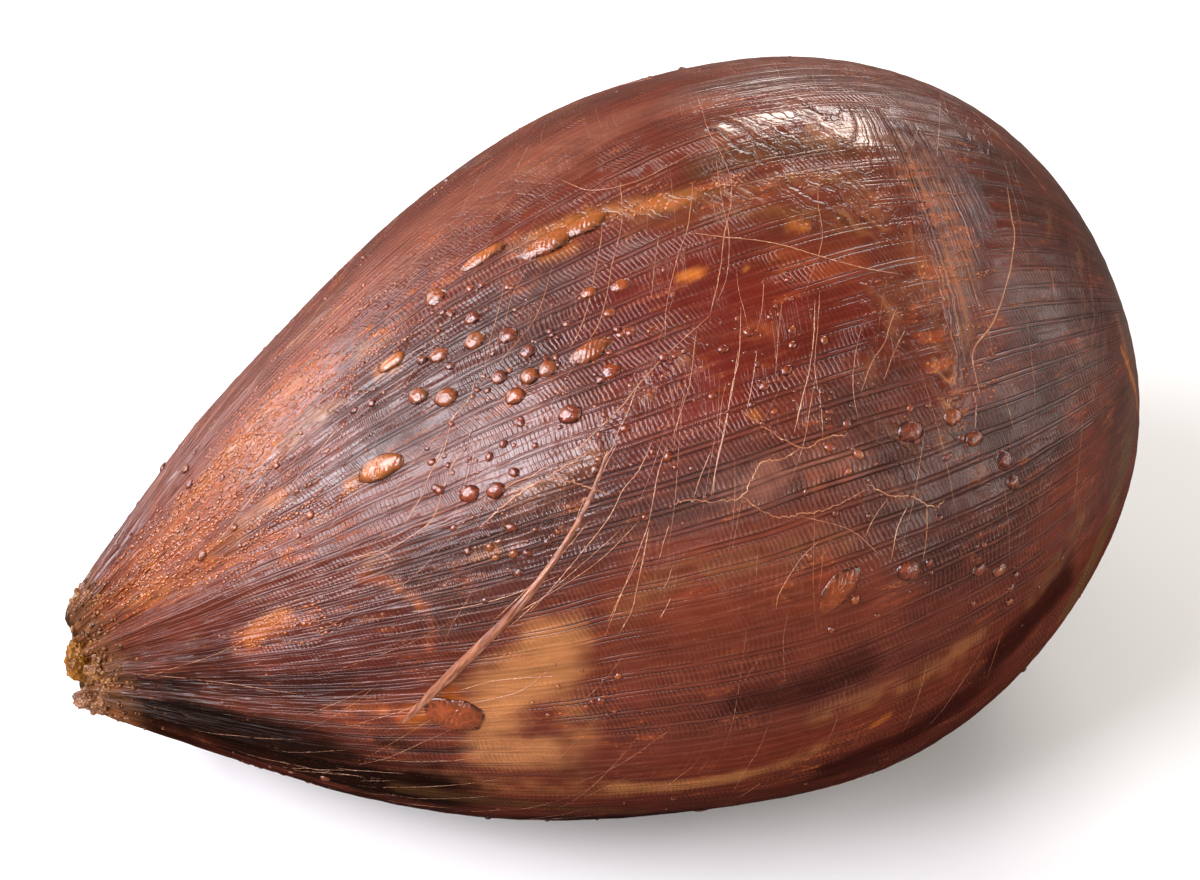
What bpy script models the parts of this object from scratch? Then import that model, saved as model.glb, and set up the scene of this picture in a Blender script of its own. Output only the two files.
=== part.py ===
"""Boneless baked ham: a teardrop of cured leg meat that was shaped in a knitted stocking.

It lies on its flattened belly, the gathered shank end towards -X and the round butt towards +X.
Units are metres and degrees. The origin is on the resting plane, below the middle of the ham.
"""

import math

import bmesh
import bpy
from mathutils import Matrix, Vector, noise

# Driving dimensions of the teardrop
LENGTH = 0.290  # shank cut to butt, along the ham's own axis
HALF_WIDTH = 0.103
CROWN = 0.095  # axis to the top, at the fattest place
BELLY = 0.079  # axis to the underside there, before it settles
AXIS_SLOPE = 4.0  # the axis climbs this much towards the butt
SHANK_DROOP = 0.020  # the thin end sags below the straight axis
SETTLE_SOFTNESS = 0.005  # half height of the round edge of the flat that it lies on

# Where the fattest place lies, and how blunt the ends are
SHANK_CUT = 0.05  # share of the full teardrop that the shank cut takes off
PEAK = 1.48
PEAK_CROWN = 0.04
PEAK_SIDE = -0.05
SHANK_POWER = 0.50
BUTT_POWER = 0.47
SHANK_PINCH = 0.25  # share of its girth that gathering takes from the shank end
PINCH_REACH = 0.09  # share of the length over which that fades

# Place of the shank end of the axis, which centres the ham over the origin
SHANK_X = -0.14226
SHANK_Y = -0.0001
SHANK_Z = 0.0626

# Relief of the skin
PLEAT_COUNT = 22
PLEAT_HEIGHT = 0.0011
PLEAT_REACH = 0.16  # share of the length over which the gathers fade
SWELL_HEIGHT = 0.0016
SWELL_SIZE = 0.055

# Broad lumps: share along, degrees around, half size along and around, height
LUMPS = {
    "butt_shoulder": (0.80, 105, 0.055, 0.060, 0.0030),
    "fat_ridge": (0.56, 92, 0.050, 0.010, 0.0018),
    "window_hollow": (0.60, 64, 0.045, 0.024, -0.0016),
    "lower_flank": (0.66, -30, 0.070, 0.034, 0.0024),
    "butt_dent": (0.93, -4, 0.030, 0.040, -0.0016),
}

# Shank stub: dried meat and jelly beyond the gathered skin
STUB_REACH = 0.005
STUB_CRAG = 0.0022
STUB_CRAG_SIZE = 0.006
STUB_RINGS = 5

# Blisters under the skin: share along, degrees around, half length, half width, turn from the meridian
BLISTERS = (
    (0.365, 88, 0.0030, 0.0026, 40),
    (0.385, 80, 0.0022, 0.0018, 0),
    (0.380, 76, 0.0028, 0.0024, 0),
    (0.350, 77, 0.0026, 0.0020, 20),
    (0.325, 72, 0.0026, 0.0022, 40),
    (0.345, 69, 0.0030, 0.0026, 40),
    (0.405, 74, 0.0024, 0.0021, 0),
    (0.415, 70, 0.0021, 0.0018, 0),
    (0.470, 62, 0.0023, 0.0021, 0),
    (0.410, 66, 0.0024, 0.0022, 0),
    (0.425, 66, 0.0024, 0.0022, 0),
    (0.395, 64, 0.0024, 0.0021, 0),
    (0.388, 68, 0.0021, 0.0018, 0),
    (0.430, 58, 0.0028, 0.0024, 10),
    (0.460, 66, 0.0055, 0.0027, -8),
    (0.475, 75, 0.0022, 0.0017, 0),
    (0.500, 74, 0.0026, 0.0018, 0),
    (0.410, 90, 0.0062, 0.0020, 0),
    (0.460, 86, 0.0072, 0.0032, 0),
    (0.495, 86, 0.0064, 0.0028, 0),
    (0.280, 63, 0.0058, 0.0030, 5),
    (0.315, 81, 0.0036, 0.0020, 0),
    (0.340, 52, 0.0025, 0.0022, 0),
    (0.360, 51, 0.0022, 0.0021, 0),
    (0.685, 41, 0.0034, 0.0026, 10),
    (0.725, 41, 0.0026, 0.0022, 0),
    (0.740, 37, 0.0026, 0.0020, 0),
    (0.765, 32, 0.0030, 0.0024, 60),
    (0.770, 28, 0.0024, 0.0019, 60),
    (0.660, 22, 0.0034, 0.0026, 20),
    (0.725, 17, 0.0021, 0.0018, 0),
    (0.745, 15, 0.0022, 0.0017, 0),
    (0.600, 23, 0.0072, 0.0034, 32),
    (0.285, 14, 0.0095, 0.0050, -14),
)
BLISTER_RISE = 0.55  # height of a dome for its half width
BLISTER_SINK = 0.15  # share of that height that lies below the skin
BLISTER_MAX_RISE = 0.0016

# Raised tendon on the near side: share along, degrees around, radius
TENDON = (
    (0.245, 11, 0.0009),
    (0.275, 18, 0.0021),
    (0.310, 25, 0.0021),
    (0.360, 33, 0.0016),
    (0.400, 40, 0.0011),
    (0.425, 45, 0.0009),
    (0.450, 51, 0.0006),
)

# Loose edge of the film over the butt
FILM_EDGE = (
    (0.855, 78, 0.0005),
    (0.845, 71, 0.0007),
    (0.840, 67, 0.0008),
    (0.820, 60, 0.0008),
    (0.790, 53, 0.0009),
    (0.760, 49, 0.0009),
    (0.755, 43, 0.0006),
)
STRAND_POINTS = 22
STRAND_SIDES = 2  # bevel resolution, for eight sides
STRAND_SINK = 0.35  # share of its radius that a strand's middle lies below the skin

# Facets of the body
SEGMENTS = 88
RINGS = 50
RING_BIAS = 1.2

# Degrees around are 0 on the near side, 90 on top and 180 on the far side
SURFACE_STEP = 0.004


def settle(height):
    """Presses what would lie below the resting plane up to it, with a round edge."""
    if height <= -SETTLE_SOFTNESS:
        return 0.0
    if height >= SETTLE_SOFTNESS:
        return height
    return (height + SETTLE_SOFTNESS) ** 2 / (4 * SETTLE_SOFTNESS)


def girth(along, around):
    """Share of the full half width that the ham has at a place along its axis."""
    station = SHANK_CUT + (1 - SHANK_CUT) * along
    peak = PEAK + PEAK_CROWN * math.sin(around) + PEAK_SIDE * math.cos(around)
    power = SHANK_POWER + (BUTT_POWER - SHANK_POWER) * along**2
    pinch = 1 - SHANK_PINCH * math.exp(-along / PINCH_REACH)
    return pinch * max(0.0, math.sin(math.pi * station**peak)) ** power


def place(along, across, up):
    """Point at a share of the axis, moved across and up from it, before settling."""
    rise = up - SHANK_DROOP * (1 - along) ** 2
    slope = math.radians(AXIS_SLOPE)
    reach = LENGTH * along
    return Vector(
        (
            SHANK_X + reach * math.cos(slope) - rise * math.sin(slope),
            SHANK_Y + across,
            SHANK_Z + reach * math.sin(slope) + rise * math.cos(slope),
        )
    )


def form(along, around):
    """Point of the smooth teardrop."""
    share = girth(along, around)
    depth = CROWN if math.sin(around) > 0 else BELLY
    return place(along, -HALF_WIDTH * share * math.cos(around), depth * share * math.sin(around))


def outward(along, around):
    """Unit normal of the smooth teardrop."""
    low, high = max(0.0, along - SURFACE_STEP), min(0.999, along + SURFACE_STEP)
    ahead = form(high, around) - form(low, around)
    turn = form(min(along, 0.995), around + SURFACE_STEP) - form(min(along, 0.995), around - SURFACE_STEP)
    return ahead.cross(turn).normalized()


def relief(along, around, point):
    """Height of the pleats, swells and lumps above the smooth teardrop."""
    gather = math.exp(-along / PLEAT_REACH)
    wander = 0.8 * math.sin(3 * around + 1.0) + 0.5 * math.sin(5 * around)
    pleats = PLEAT_HEIGHT * gather * math.cos(PLEAT_COUNT * around + wander)
    swells = SWELL_HEIGHT * noise.noise(point / SWELL_SIZE)
    height = pleats + swells
    for at, turn, half_along, half_around, rise in LUMPS.values():
        off_along = (along - at) * LENGTH / half_along
        arc = math.remainder(around - math.radians(turn), math.tau)
        off_around = arc * HALF_WIDTH * girth(along, around) / half_around
        height += rise * math.exp(-(off_along**2) - off_around**2)
    return height


def skin(along, around):
    """Point of the finished skin."""
    smooth = form(along, around)
    fade = min(1.0, (1 - along) / 0.03)
    point = smooth + outward(along, around) * relief(along, around, smooth) * fade
    point.z = settle(point.z)
    return point


def stub(share, around):
    """Point of the craggy shank stub, from its middle to the edge of the skin."""
    middle = place(0.0, 0.0, 0.0)
    edge = skin(0.0, around)
    axis = place(0.0, 0.0, 0.0) - place(0.1, 0.0, 0.0)
    dome = axis.normalized() * STUB_REACH * math.sqrt(1 - share**2)
    point = middle.lerp(edge, share) + dome
    crag = noise.noise(point / STUB_CRAG_SIZE) + 0.5 * noise.noise(point * 2.1 / STUB_CRAG_SIZE)
    return point + axis.normalized() * STUB_CRAG * crag * (1 - share**6)


def body_point(ring, around):
    """Point of the body for a ring counted from the middle of the stub to the butt."""
    if ring <= STUB_RINGS:
        return stub(ring / STUB_RINGS, around)
    share = (ring - STUB_RINGS) / (RINGS - STUB_RINGS)
    return skin(math.sin(math.pi / 2 * share) ** RING_BIAS, around)


def add_body(collection, material):
    """The body of the ham: a globe whose rings are carried onto the teardrop."""
    mesh = bpy.data.meshes.new("ham")
    globe = bmesh.new()
    bmesh.ops.create_uvsphere(globe, u_segments=SEGMENTS, v_segments=RINGS, radius=1.0)
    for vertex in globe.verts:
        polar = math.acos(max(-1.0, min(1.0, vertex.co.z)))
        around = math.atan2(vertex.co.y, vertex.co.x)
        vertex.co = body_point(round(polar / math.pi * RINGS), around)
    bmesh.ops.recalc_face_normals(globe, faces=globe.faces)
    globe.to_mesh(mesh)
    globe.free()
    mesh.materials.append(material)
    ham = bpy.data.objects.new("ham", mesh)
    collection.objects.link(ham)
    return ham


def local_frame(along, around):
    """Axes on the skin: along the meridian to the butt, across it, and outward."""
    normal = outward(along, around)
    ahead = form(along + SURFACE_STEP, around) - form(along - SURFACE_STEP, around)
    ahead = (ahead - ahead.dot(normal) * normal).normalized()
    return ahead, normal.cross(ahead), normal


def add_blister(collection, number, along, around, half_length, half_width, turn):
    """A low dome of lifted skin, sunk a little into the body."""
    around = math.radians(around)
    ahead, across, normal = local_frame(along, around)
    rise = min(BLISTER_MAX_RISE, BLISTER_RISE * half_width)
    middle = skin(along, around) - BLISTER_SINK * rise * normal
    spin = Matrix.Rotation(math.radians(turn), 3, normal)
    axes = (spin @ ahead * half_length, spin @ across * half_width, normal * rise)
    mesh = bpy.data.meshes.new(f"blister_{number:02d}")
    dome = bmesh.new()
    bmesh.ops.create_icosphere(dome, subdivisions=2, radius=1.0)
    for vertex in dome.verts:
        unit = vertex.co.copy()
        vertex.co = middle + axes[0] * unit.x + axes[1] * unit.y + axes[2] * unit.z
    bmesh.ops.recalc_face_normals(dome, faces=dome.faces)
    dome.to_mesh(mesh)
    dome.free()
    blister = bpy.data.objects.new(mesh.name, mesh)
    collection.objects.link(blister)


def along_route(route, share):
    """Values of a route of tuples at a share of its length, by straight steps."""
    step = share * (len(route) - 1)
    low = min(int(step), len(route) - 2)
    part = step - low
    return [a + (b - a) * part for a, b in zip(route[low], route[low + 1])]


def add_strand(collection, name, route):
    """A tapered round strand that follows the skin, half sunk in it."""
    curve = bpy.data.curves.new(name, "CURVE")
    curve.dimensions = "3D"
    curve.bevel_depth = 1.0
    curve.bevel_resolution = STRAND_SIDES
    curve.use_fill_caps = True
    spline = curve.splines.new("POLY")
    spline.points.add(STRAND_POINTS - 1)
    for index, point in enumerate(spline.points):
        along, around, radius = along_route(route, index / (STRAND_POINTS - 1))
        around = math.radians(around)
        middle = skin(along, around) - STRAND_SINK * radius * outward(along, around)
        point.co = (*middle, 1.0)
        point.radius = radius
    drawn = bpy.data.objects.new(name, curve)
    collection.objects.link(drawn)
    bpy.context.view_layer.update()
    mesh = bpy.data.meshes.new_from_object(drawn.evaluated_get(bpy.context.evaluated_depsgraph_get()))
    welded = bmesh.new()
    welded.from_mesh(mesh)
    bmesh.ops.remove_doubles(welded, verts=welded.verts, dist=1e-6)
    bmesh.ops.recalc_face_normals(welded, faces=welded.faces)
    welded.to_mesh(mesh)
    welded.free()
    bpy.data.objects.remove(drawn)
    strand = bpy.data.objects.new(name, mesh)
    collection.objects.link(strand)


def fuse(ham, additions):
    """Joins the additions to the ham with one Boolean union, and removes them."""
    union = ham.modifiers.new("fuse", "BOOLEAN")
    union.operation = "UNION"
    union.operand_type = "COLLECTION"
    union.collection = additions
    union.solver = "EXACT"
    bpy.context.view_layer.update()
    evaluated = ham.evaluated_get(bpy.context.evaluated_depsgraph_get())
    joined = bpy.data.meshes.new_from_object(evaluated)
    ham.modifiers.remove(union)
    ham.data = joined
    joined.name = "ham"
    for addition in list(additions.objects):
        bpy.data.objects.remove(addition)
    bpy.data.collections.remove(additions)


def cured_skin():
    """Dark mahogany smoked skin with a glossy film."""
    material = bpy.data.materials.new("cured_skin")
    material.use_nodes = True
    shader = material.node_tree.nodes["Principled BSDF"]
    shader.inputs["Base Color"].default_value = (0.150, 0.034, 0.018, 1.0)
    shader.inputs["Roughness"].default_value = 0.38
    shader.inputs["Metallic"].default_value = 0.0
    shader.inputs["Coat Weight"].default_value = 0.6
    return material


def main():
    for old in list(bpy.data.objects):
        bpy.data.objects.remove(old)
    pieces = bpy.data.collections.new("baked ham")
    additions = bpy.data.collections.new("raised details")
    for collection in (pieces, additions):
        bpy.context.scene.collection.children.link(collection)
    ham = add_body(pieces, cured_skin())
    for number, blister in enumerate(BLISTERS):
        add_blister(additions, number, *blister)
    add_strand(additions, "tendon", TENDON)
    add_strand(additions, "film_edge", FILM_EDGE)
    fuse(ham, additions)
    ham.data.shade_smooth()
    ham.data.set_sharp_from_angle(angle=math.radians(50))


main()
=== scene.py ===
"""Looks of the baked ham: one high, detailed skin with its blisters, threads, tendon, film and jelly.

Degrees around are 0 on the near side, 90 on top and 180 on the far side. A share along is 0 at the
shank and 1 at the butt. Lengths are in metres unless a name says otherwise.
"""

import math
import random

import bmesh
import bpy
import numpy as np
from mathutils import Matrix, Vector, noise
from mathutils.bvhtree import BVHTree


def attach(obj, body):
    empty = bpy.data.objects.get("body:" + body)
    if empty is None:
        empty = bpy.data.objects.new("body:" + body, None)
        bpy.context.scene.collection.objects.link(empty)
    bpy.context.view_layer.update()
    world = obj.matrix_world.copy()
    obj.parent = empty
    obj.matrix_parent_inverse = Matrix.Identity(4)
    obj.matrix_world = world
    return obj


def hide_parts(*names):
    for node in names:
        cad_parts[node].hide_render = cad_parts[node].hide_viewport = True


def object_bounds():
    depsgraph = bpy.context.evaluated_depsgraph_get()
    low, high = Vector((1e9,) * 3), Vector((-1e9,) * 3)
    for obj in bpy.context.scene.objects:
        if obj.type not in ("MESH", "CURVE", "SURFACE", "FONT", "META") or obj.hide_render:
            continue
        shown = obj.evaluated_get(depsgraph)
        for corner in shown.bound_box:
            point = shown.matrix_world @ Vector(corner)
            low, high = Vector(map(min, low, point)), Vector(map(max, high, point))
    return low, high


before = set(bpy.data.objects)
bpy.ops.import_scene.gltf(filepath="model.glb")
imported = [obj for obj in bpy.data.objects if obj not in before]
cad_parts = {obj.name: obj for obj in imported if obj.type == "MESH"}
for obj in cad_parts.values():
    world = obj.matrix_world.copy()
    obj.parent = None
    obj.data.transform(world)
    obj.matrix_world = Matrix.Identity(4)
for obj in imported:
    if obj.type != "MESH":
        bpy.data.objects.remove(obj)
CAD_LOW, CAD_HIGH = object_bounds()
BODY = "root"
NODE = "ham"

bl_info = {
    "name": "Baked Ham",
    "version": (1, 0, 0),
    "blender": (4, 5, 0),
    "location": "3D View > Sidebar > Ham",
    "description": "Builds a smoked and baked whole ham with its glossy, netted skin",
    "category": "Object",
}

# Form of the teardrop, as in the solid
LENGTH = 0.290
HALF_WIDTH = 0.103
CROWN = 0.095
BELLY = 0.079
AXIS_SLOPE = 4.0
SHANK_DROOP = 0.020
SETTLE_SOFTNESS = 0.005
SHANK_CUT = 0.05
PEAK = 1.48
PEAK_CROWN = 0.04
PEAK_SIDE = -0.05
SHANK_POWER = 0.50
BUTT_POWER = 0.47
SHANK_PINCH = 0.25
PINCH_REACH = 0.09
SHANK_X = -0.14226
SHANK_Y = -0.0001
SHANK_Z = 0.0626
PLEAT_COUNT = 22
PLEAT_HEIGHT = 0.0011
PLEAT_REACH = 0.16
SWELL_HEIGHT = 0.0016
SWELL_SIZE = 0.055
LUMPS = {
    "butt_shoulder": (0.80, 105, 0.055, 0.060, 0.0030),
    "fat_ridge": (0.56, 92, 0.050, 0.010, 0.0018),
    "window_hollow": (0.60, 64, 0.045, 0.024, -0.0016),
    "lower_flank": (0.66, -30, 0.070, 0.034, 0.0024),
    "butt_dent": (0.93, -4, 0.030, 0.040, -0.0016),
}
STUB_REACH = 0.0015  # shorter than in the solid, because jelly covers it
STUB_CRAG = 0.0022
STUB_CRAG_SIZE = 0.006

# Camera of the photograph, whose frame is 1200 by 880 pixels
PHOTO_WIDTH = 1200
PHOTO_HEIGHT = 880
VIEW_AZIMUTH = -17.45
VIEW_ELEVATION = 43.0
VIEW_DISTANCE = 0.65
VIEW_TARGET = Vector((0.0, 0.0, 0.07))
FOCAL_PIXELS = 2430.0
OBJECT_RIGHT_PIXELS = -2.0
OBJECT_DOWN_PIXELS = 29.6
PIXEL = 0.00026  # what a pixel of the photo covers on the ham

# Stocking marks: columns of stitches round the ham, and the pitch of the ribs across them
WALES = 106
RIB_PITCH = 0.00122

# Facets of the skin
SEGMENTS = 384
RINGS = 259
STUB_RINGS = 9
DENSE_TURN = 50  # degrees around where facets are narrowest
DENSE_SHARE = 0.35

# Skin tones, linear
TONES = {
    "mahogany": (0.118, 0.019, 0.008),
    "purple brown": (0.072, 0.020, 0.014),
    "deep red": (0.115, 0.010, 0.004),
    "red brown": (0.150, 0.027, 0.011),
    "maroon": (0.085, 0.012, 0.007),
    "rosy brown": (0.210, 0.060, 0.034),
    "gold olive": (0.170, 0.058, 0.010),
    "olive": (0.125, 0.055, 0.018),
    "dark olive": (0.070, 0.030, 0.009),
    "film gold": (0.330, 0.125, 0.045),
    "film pink": (0.260, 0.100, 0.065),
    "amber": (0.520, 0.165, 0.028),
    "orange": (0.560, 0.155, 0.016),
    "pocket": (0.300, 0.066, 0.002),
    "orange red": (0.360, 0.070, 0.016),
    "tan": (0.440, 0.170, 0.055),
    "tan brown": (0.240, 0.082, 0.026),
    "dark red": (0.034, 0.004, 0.002),
    "near black": (0.012, 0.003, 0.001),
    "brown": (0.062, 0.024, 0.006),
    "grey brown": (0.110, 0.060, 0.048),
}


def clamp(values, low=0.0, high=1.0):
    return np.minimum(np.maximum(values, low), high)


def smoothstep(values, low, high):
    """0 below low, 1 above high and an even S between."""
    share = clamp((np.asarray(values, float) - low) / (high - low))
    return share * share * (3 - 2 * share)


def settle(height):
    """Presses what would lie below the resting plane up to it, with a round edge."""
    curved = (height + SETTLE_SOFTNESS) ** 2 / (4 * SETTLE_SOFTNESS)
    raised = np.where(height <= -SETTLE_SOFTNESS, 0.0, curved)
    return np.where(height >= SETTLE_SOFTNESS, height, raised)


def girth(along, around):
    """Share of the full half width that the ham has at a place along its axis."""
    station = SHANK_CUT + (1 - SHANK_CUT) * along
    peak = PEAK + PEAK_CROWN * np.sin(around) + PEAK_SIDE * np.cos(around)
    power = SHANK_POWER + (BUTT_POWER - SHANK_POWER) * along**2
    pinch = 1 - SHANK_PINCH * np.exp(-along / PINCH_REACH)
    return pinch * np.maximum(0.0, np.sin(np.pi * station**peak)) ** power


def place(along, across, up):
    """Points at shares of the axis, moved across and up from it."""
    rise = up - SHANK_DROOP * (1 - along) ** 2
    slope = math.radians(AXIS_SLOPE)
    reach = LENGTH * along
    return np.stack(
        (
            SHANK_X + reach * math.cos(slope) - rise * math.sin(slope),
            SHANK_Y + across,
            SHANK_Z + reach * math.sin(slope) + rise * math.cos(slope),
        ),
        axis=-1,
    )


def form(along, around):
    """Points of the smooth teardrop."""
    share = girth(along, around)
    depth = np.where(np.sin(around) > 0, CROWN, BELLY)
    return place(along, -HALF_WIDTH * share * np.cos(around), depth * share * np.sin(around))


def outward(along, around):
    """Unit normals of the smooth teardrop."""
    step = 0.004
    side = np.minimum(along, 0.995)
    ahead = form(np.minimum(0.999, along + step), around) - form(np.maximum(0.0, along - step), around)
    turn = form(side, around + step) - form(side, around - step)
    normal = np.cross(ahead, turn)
    return normal / np.linalg.norm(normal, axis=-1, keepdims=True)


def noise_at(points, size, seed=0.0):
    """Smooth noise from -1 to 1 at each point, with lumps of about that size."""
    shift = Vector((seed, 2 * seed, -seed))
    return np.array([noise.noise(Vector(point) / size + shift) for point in points])


def relief(along, around, points):
    """Height of the pleats, swells and lumps above the smooth teardrop, as in the solid."""
    gather = np.exp(-along / PLEAT_REACH)
    wander = 0.8 * np.sin(3 * around + 1.0) + 0.5 * np.sin(5 * around)
    height = PLEAT_HEIGHT * gather * np.cos(PLEAT_COUNT * around + wander)
    height = height + SWELL_HEIGHT * noise_at(points, SWELL_SIZE)
    for at, turn, half_along, half_around, rise in LUMPS.values():
        off_along = (along - at) * LENGTH / half_along
        arc = np.remainder(around - math.radians(turn) + np.pi, 2 * np.pi) - np.pi
        off_around = arc * HALF_WIDTH * girth(along, around) / half_around
        height = height + rise * np.exp(-(off_along**2) - off_around**2)
    return height


def skin(along, around, extra=0.0):
    """Points of the finished skin, raised by an extra height along its normals."""
    along, around = np.broadcast_arrays(np.asarray(along, float), np.asarray(around, float))
    smooth = form(along, around)
    fade = np.minimum(1.0, (1 - along) / 0.03)
    flat = smooth.reshape(-1, 3)
    height = relief(along.ravel(), around.ravel(), flat).reshape(along.shape) * fade + extra
    points = smooth + outward(along, around) * height[..., None]
    points[..., 2] = settle(points[..., 2])
    return points


def view_axes():
    """The camera's place and its right, up and back directions."""
    azimuth, elevation = math.radians(VIEW_AZIMUTH), math.radians(VIEW_ELEVATION)
    level = math.cos(elevation)
    back = Vector((math.sin(azimuth) * level, -math.cos(azimuth) * level, math.sin(elevation)))
    right = Vector((math.cos(azimuth), math.sin(azimuth), 0.0))
    return VIEW_TARGET + VIEW_DISTANCE * back, right, back.cross(right), back


def pixels_of(points):
    """Where points show in the photograph, in its pixels."""
    eye, right, up, back = (np.array(axis) for axis in view_axes())
    offset = points - eye
    depth = -(offset @ back)
    across = PHOTO_WIDTH / 2 + OBJECT_RIGHT_PIXELS + FOCAL_PIXELS * (offset @ right) / depth
    down = PHOTO_HEIGHT / 2 + OBJECT_DOWN_PIXELS - FOCAL_PIXELS * (offset @ up) / depth
    return np.stack((across, down), axis=-1)


class SkinChart:
    """Finds the place on the skin that a pixel of the photograph shows."""

    def __init__(self):
        self.along = np.linspace(0.0, 0.995, 160)[:, None]
        self.around = np.radians(np.arange(-90, 270, 1.5))[None, :]
        along, around = np.broadcast_arrays(self.along, self.around)
        points = skin(along, around)
        to_eye = np.array(view_axes()[0]) - points
        facing = (outward(along, around) * to_eye).sum(-1) > 0
        self.pixels = np.where(facing[..., None], pixels_of(points), 1e6)

    def at(self, x, y):
        """(along, around) at a pixel: the nearest place of the grid, then closer by its slopes."""
        gap = np.hypot(self.pixels[..., 0] - x, self.pixels[..., 1] - y)
        row, column = np.unravel_index(gap.argmin(), gap.shape)
        place_now = np.array([self.along[row, 0], self.around[0, column]])
        steps = np.array([[0.0, 0.0], [0.002, 0.0], [0.0, 0.01]])
        for _ in range(4):
            probes = place_now + steps
            seen = pixels_of(skin(probes[:, 0], probes[:, 1]))
            slopes = np.stack([(seen[1] - seen[0]) / 0.002, (seen[2] - seen[0]) / 0.01], axis=1)
            move = np.linalg.lstsq(slopes, np.array([x, y]) - seen[0], rcond=None)[0]
            place_now = place_now + np.clip(move, -0.02, 0.02)
            place_now[0] = min(0.995, max(0.0, place_now[0]))
        return place_now

    def route(self, pixels, steps=8):
        """Places along a line through pixels, with that many steps between two of them."""
        knots = np.array([self.at(*pixel) for pixel in pixels])
        if len(knots) == 1:
            return knots
        return smooth_route(knots, steps)


def smooth_route(knots, steps):
    """A rounded line through knots, by the Catmull-Rom rule."""
    knots = np.asarray(knots, float)
    before = np.vstack([2 * knots[0] - knots[1], knots[:-1]])
    after = np.vstack([knots[1:], 2 * knots[-1] - knots[-2]])
    slope = (after - before) / 2
    line = []
    for start in range(len(knots) - 1):
        for share in np.arange(steps) / steps:
            rest = 1 - share
            line.append(
                rest * rest * (1 + 2 * share) * knots[start]
                + share * share * (3 - 2 * share) * knots[start + 1]
                + share * rest * rest * slope[start]
                - share * share * rest * slope[start + 1]
            )
    line.append(knots[-1])
    return np.array(line)


CHART = SkinChart()

# Tones of thin crust and film, which break up into flakes
CRUSTY = ("amber", "orange red", "film gold", "film pink", "gold olive", "tan brown")

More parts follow.
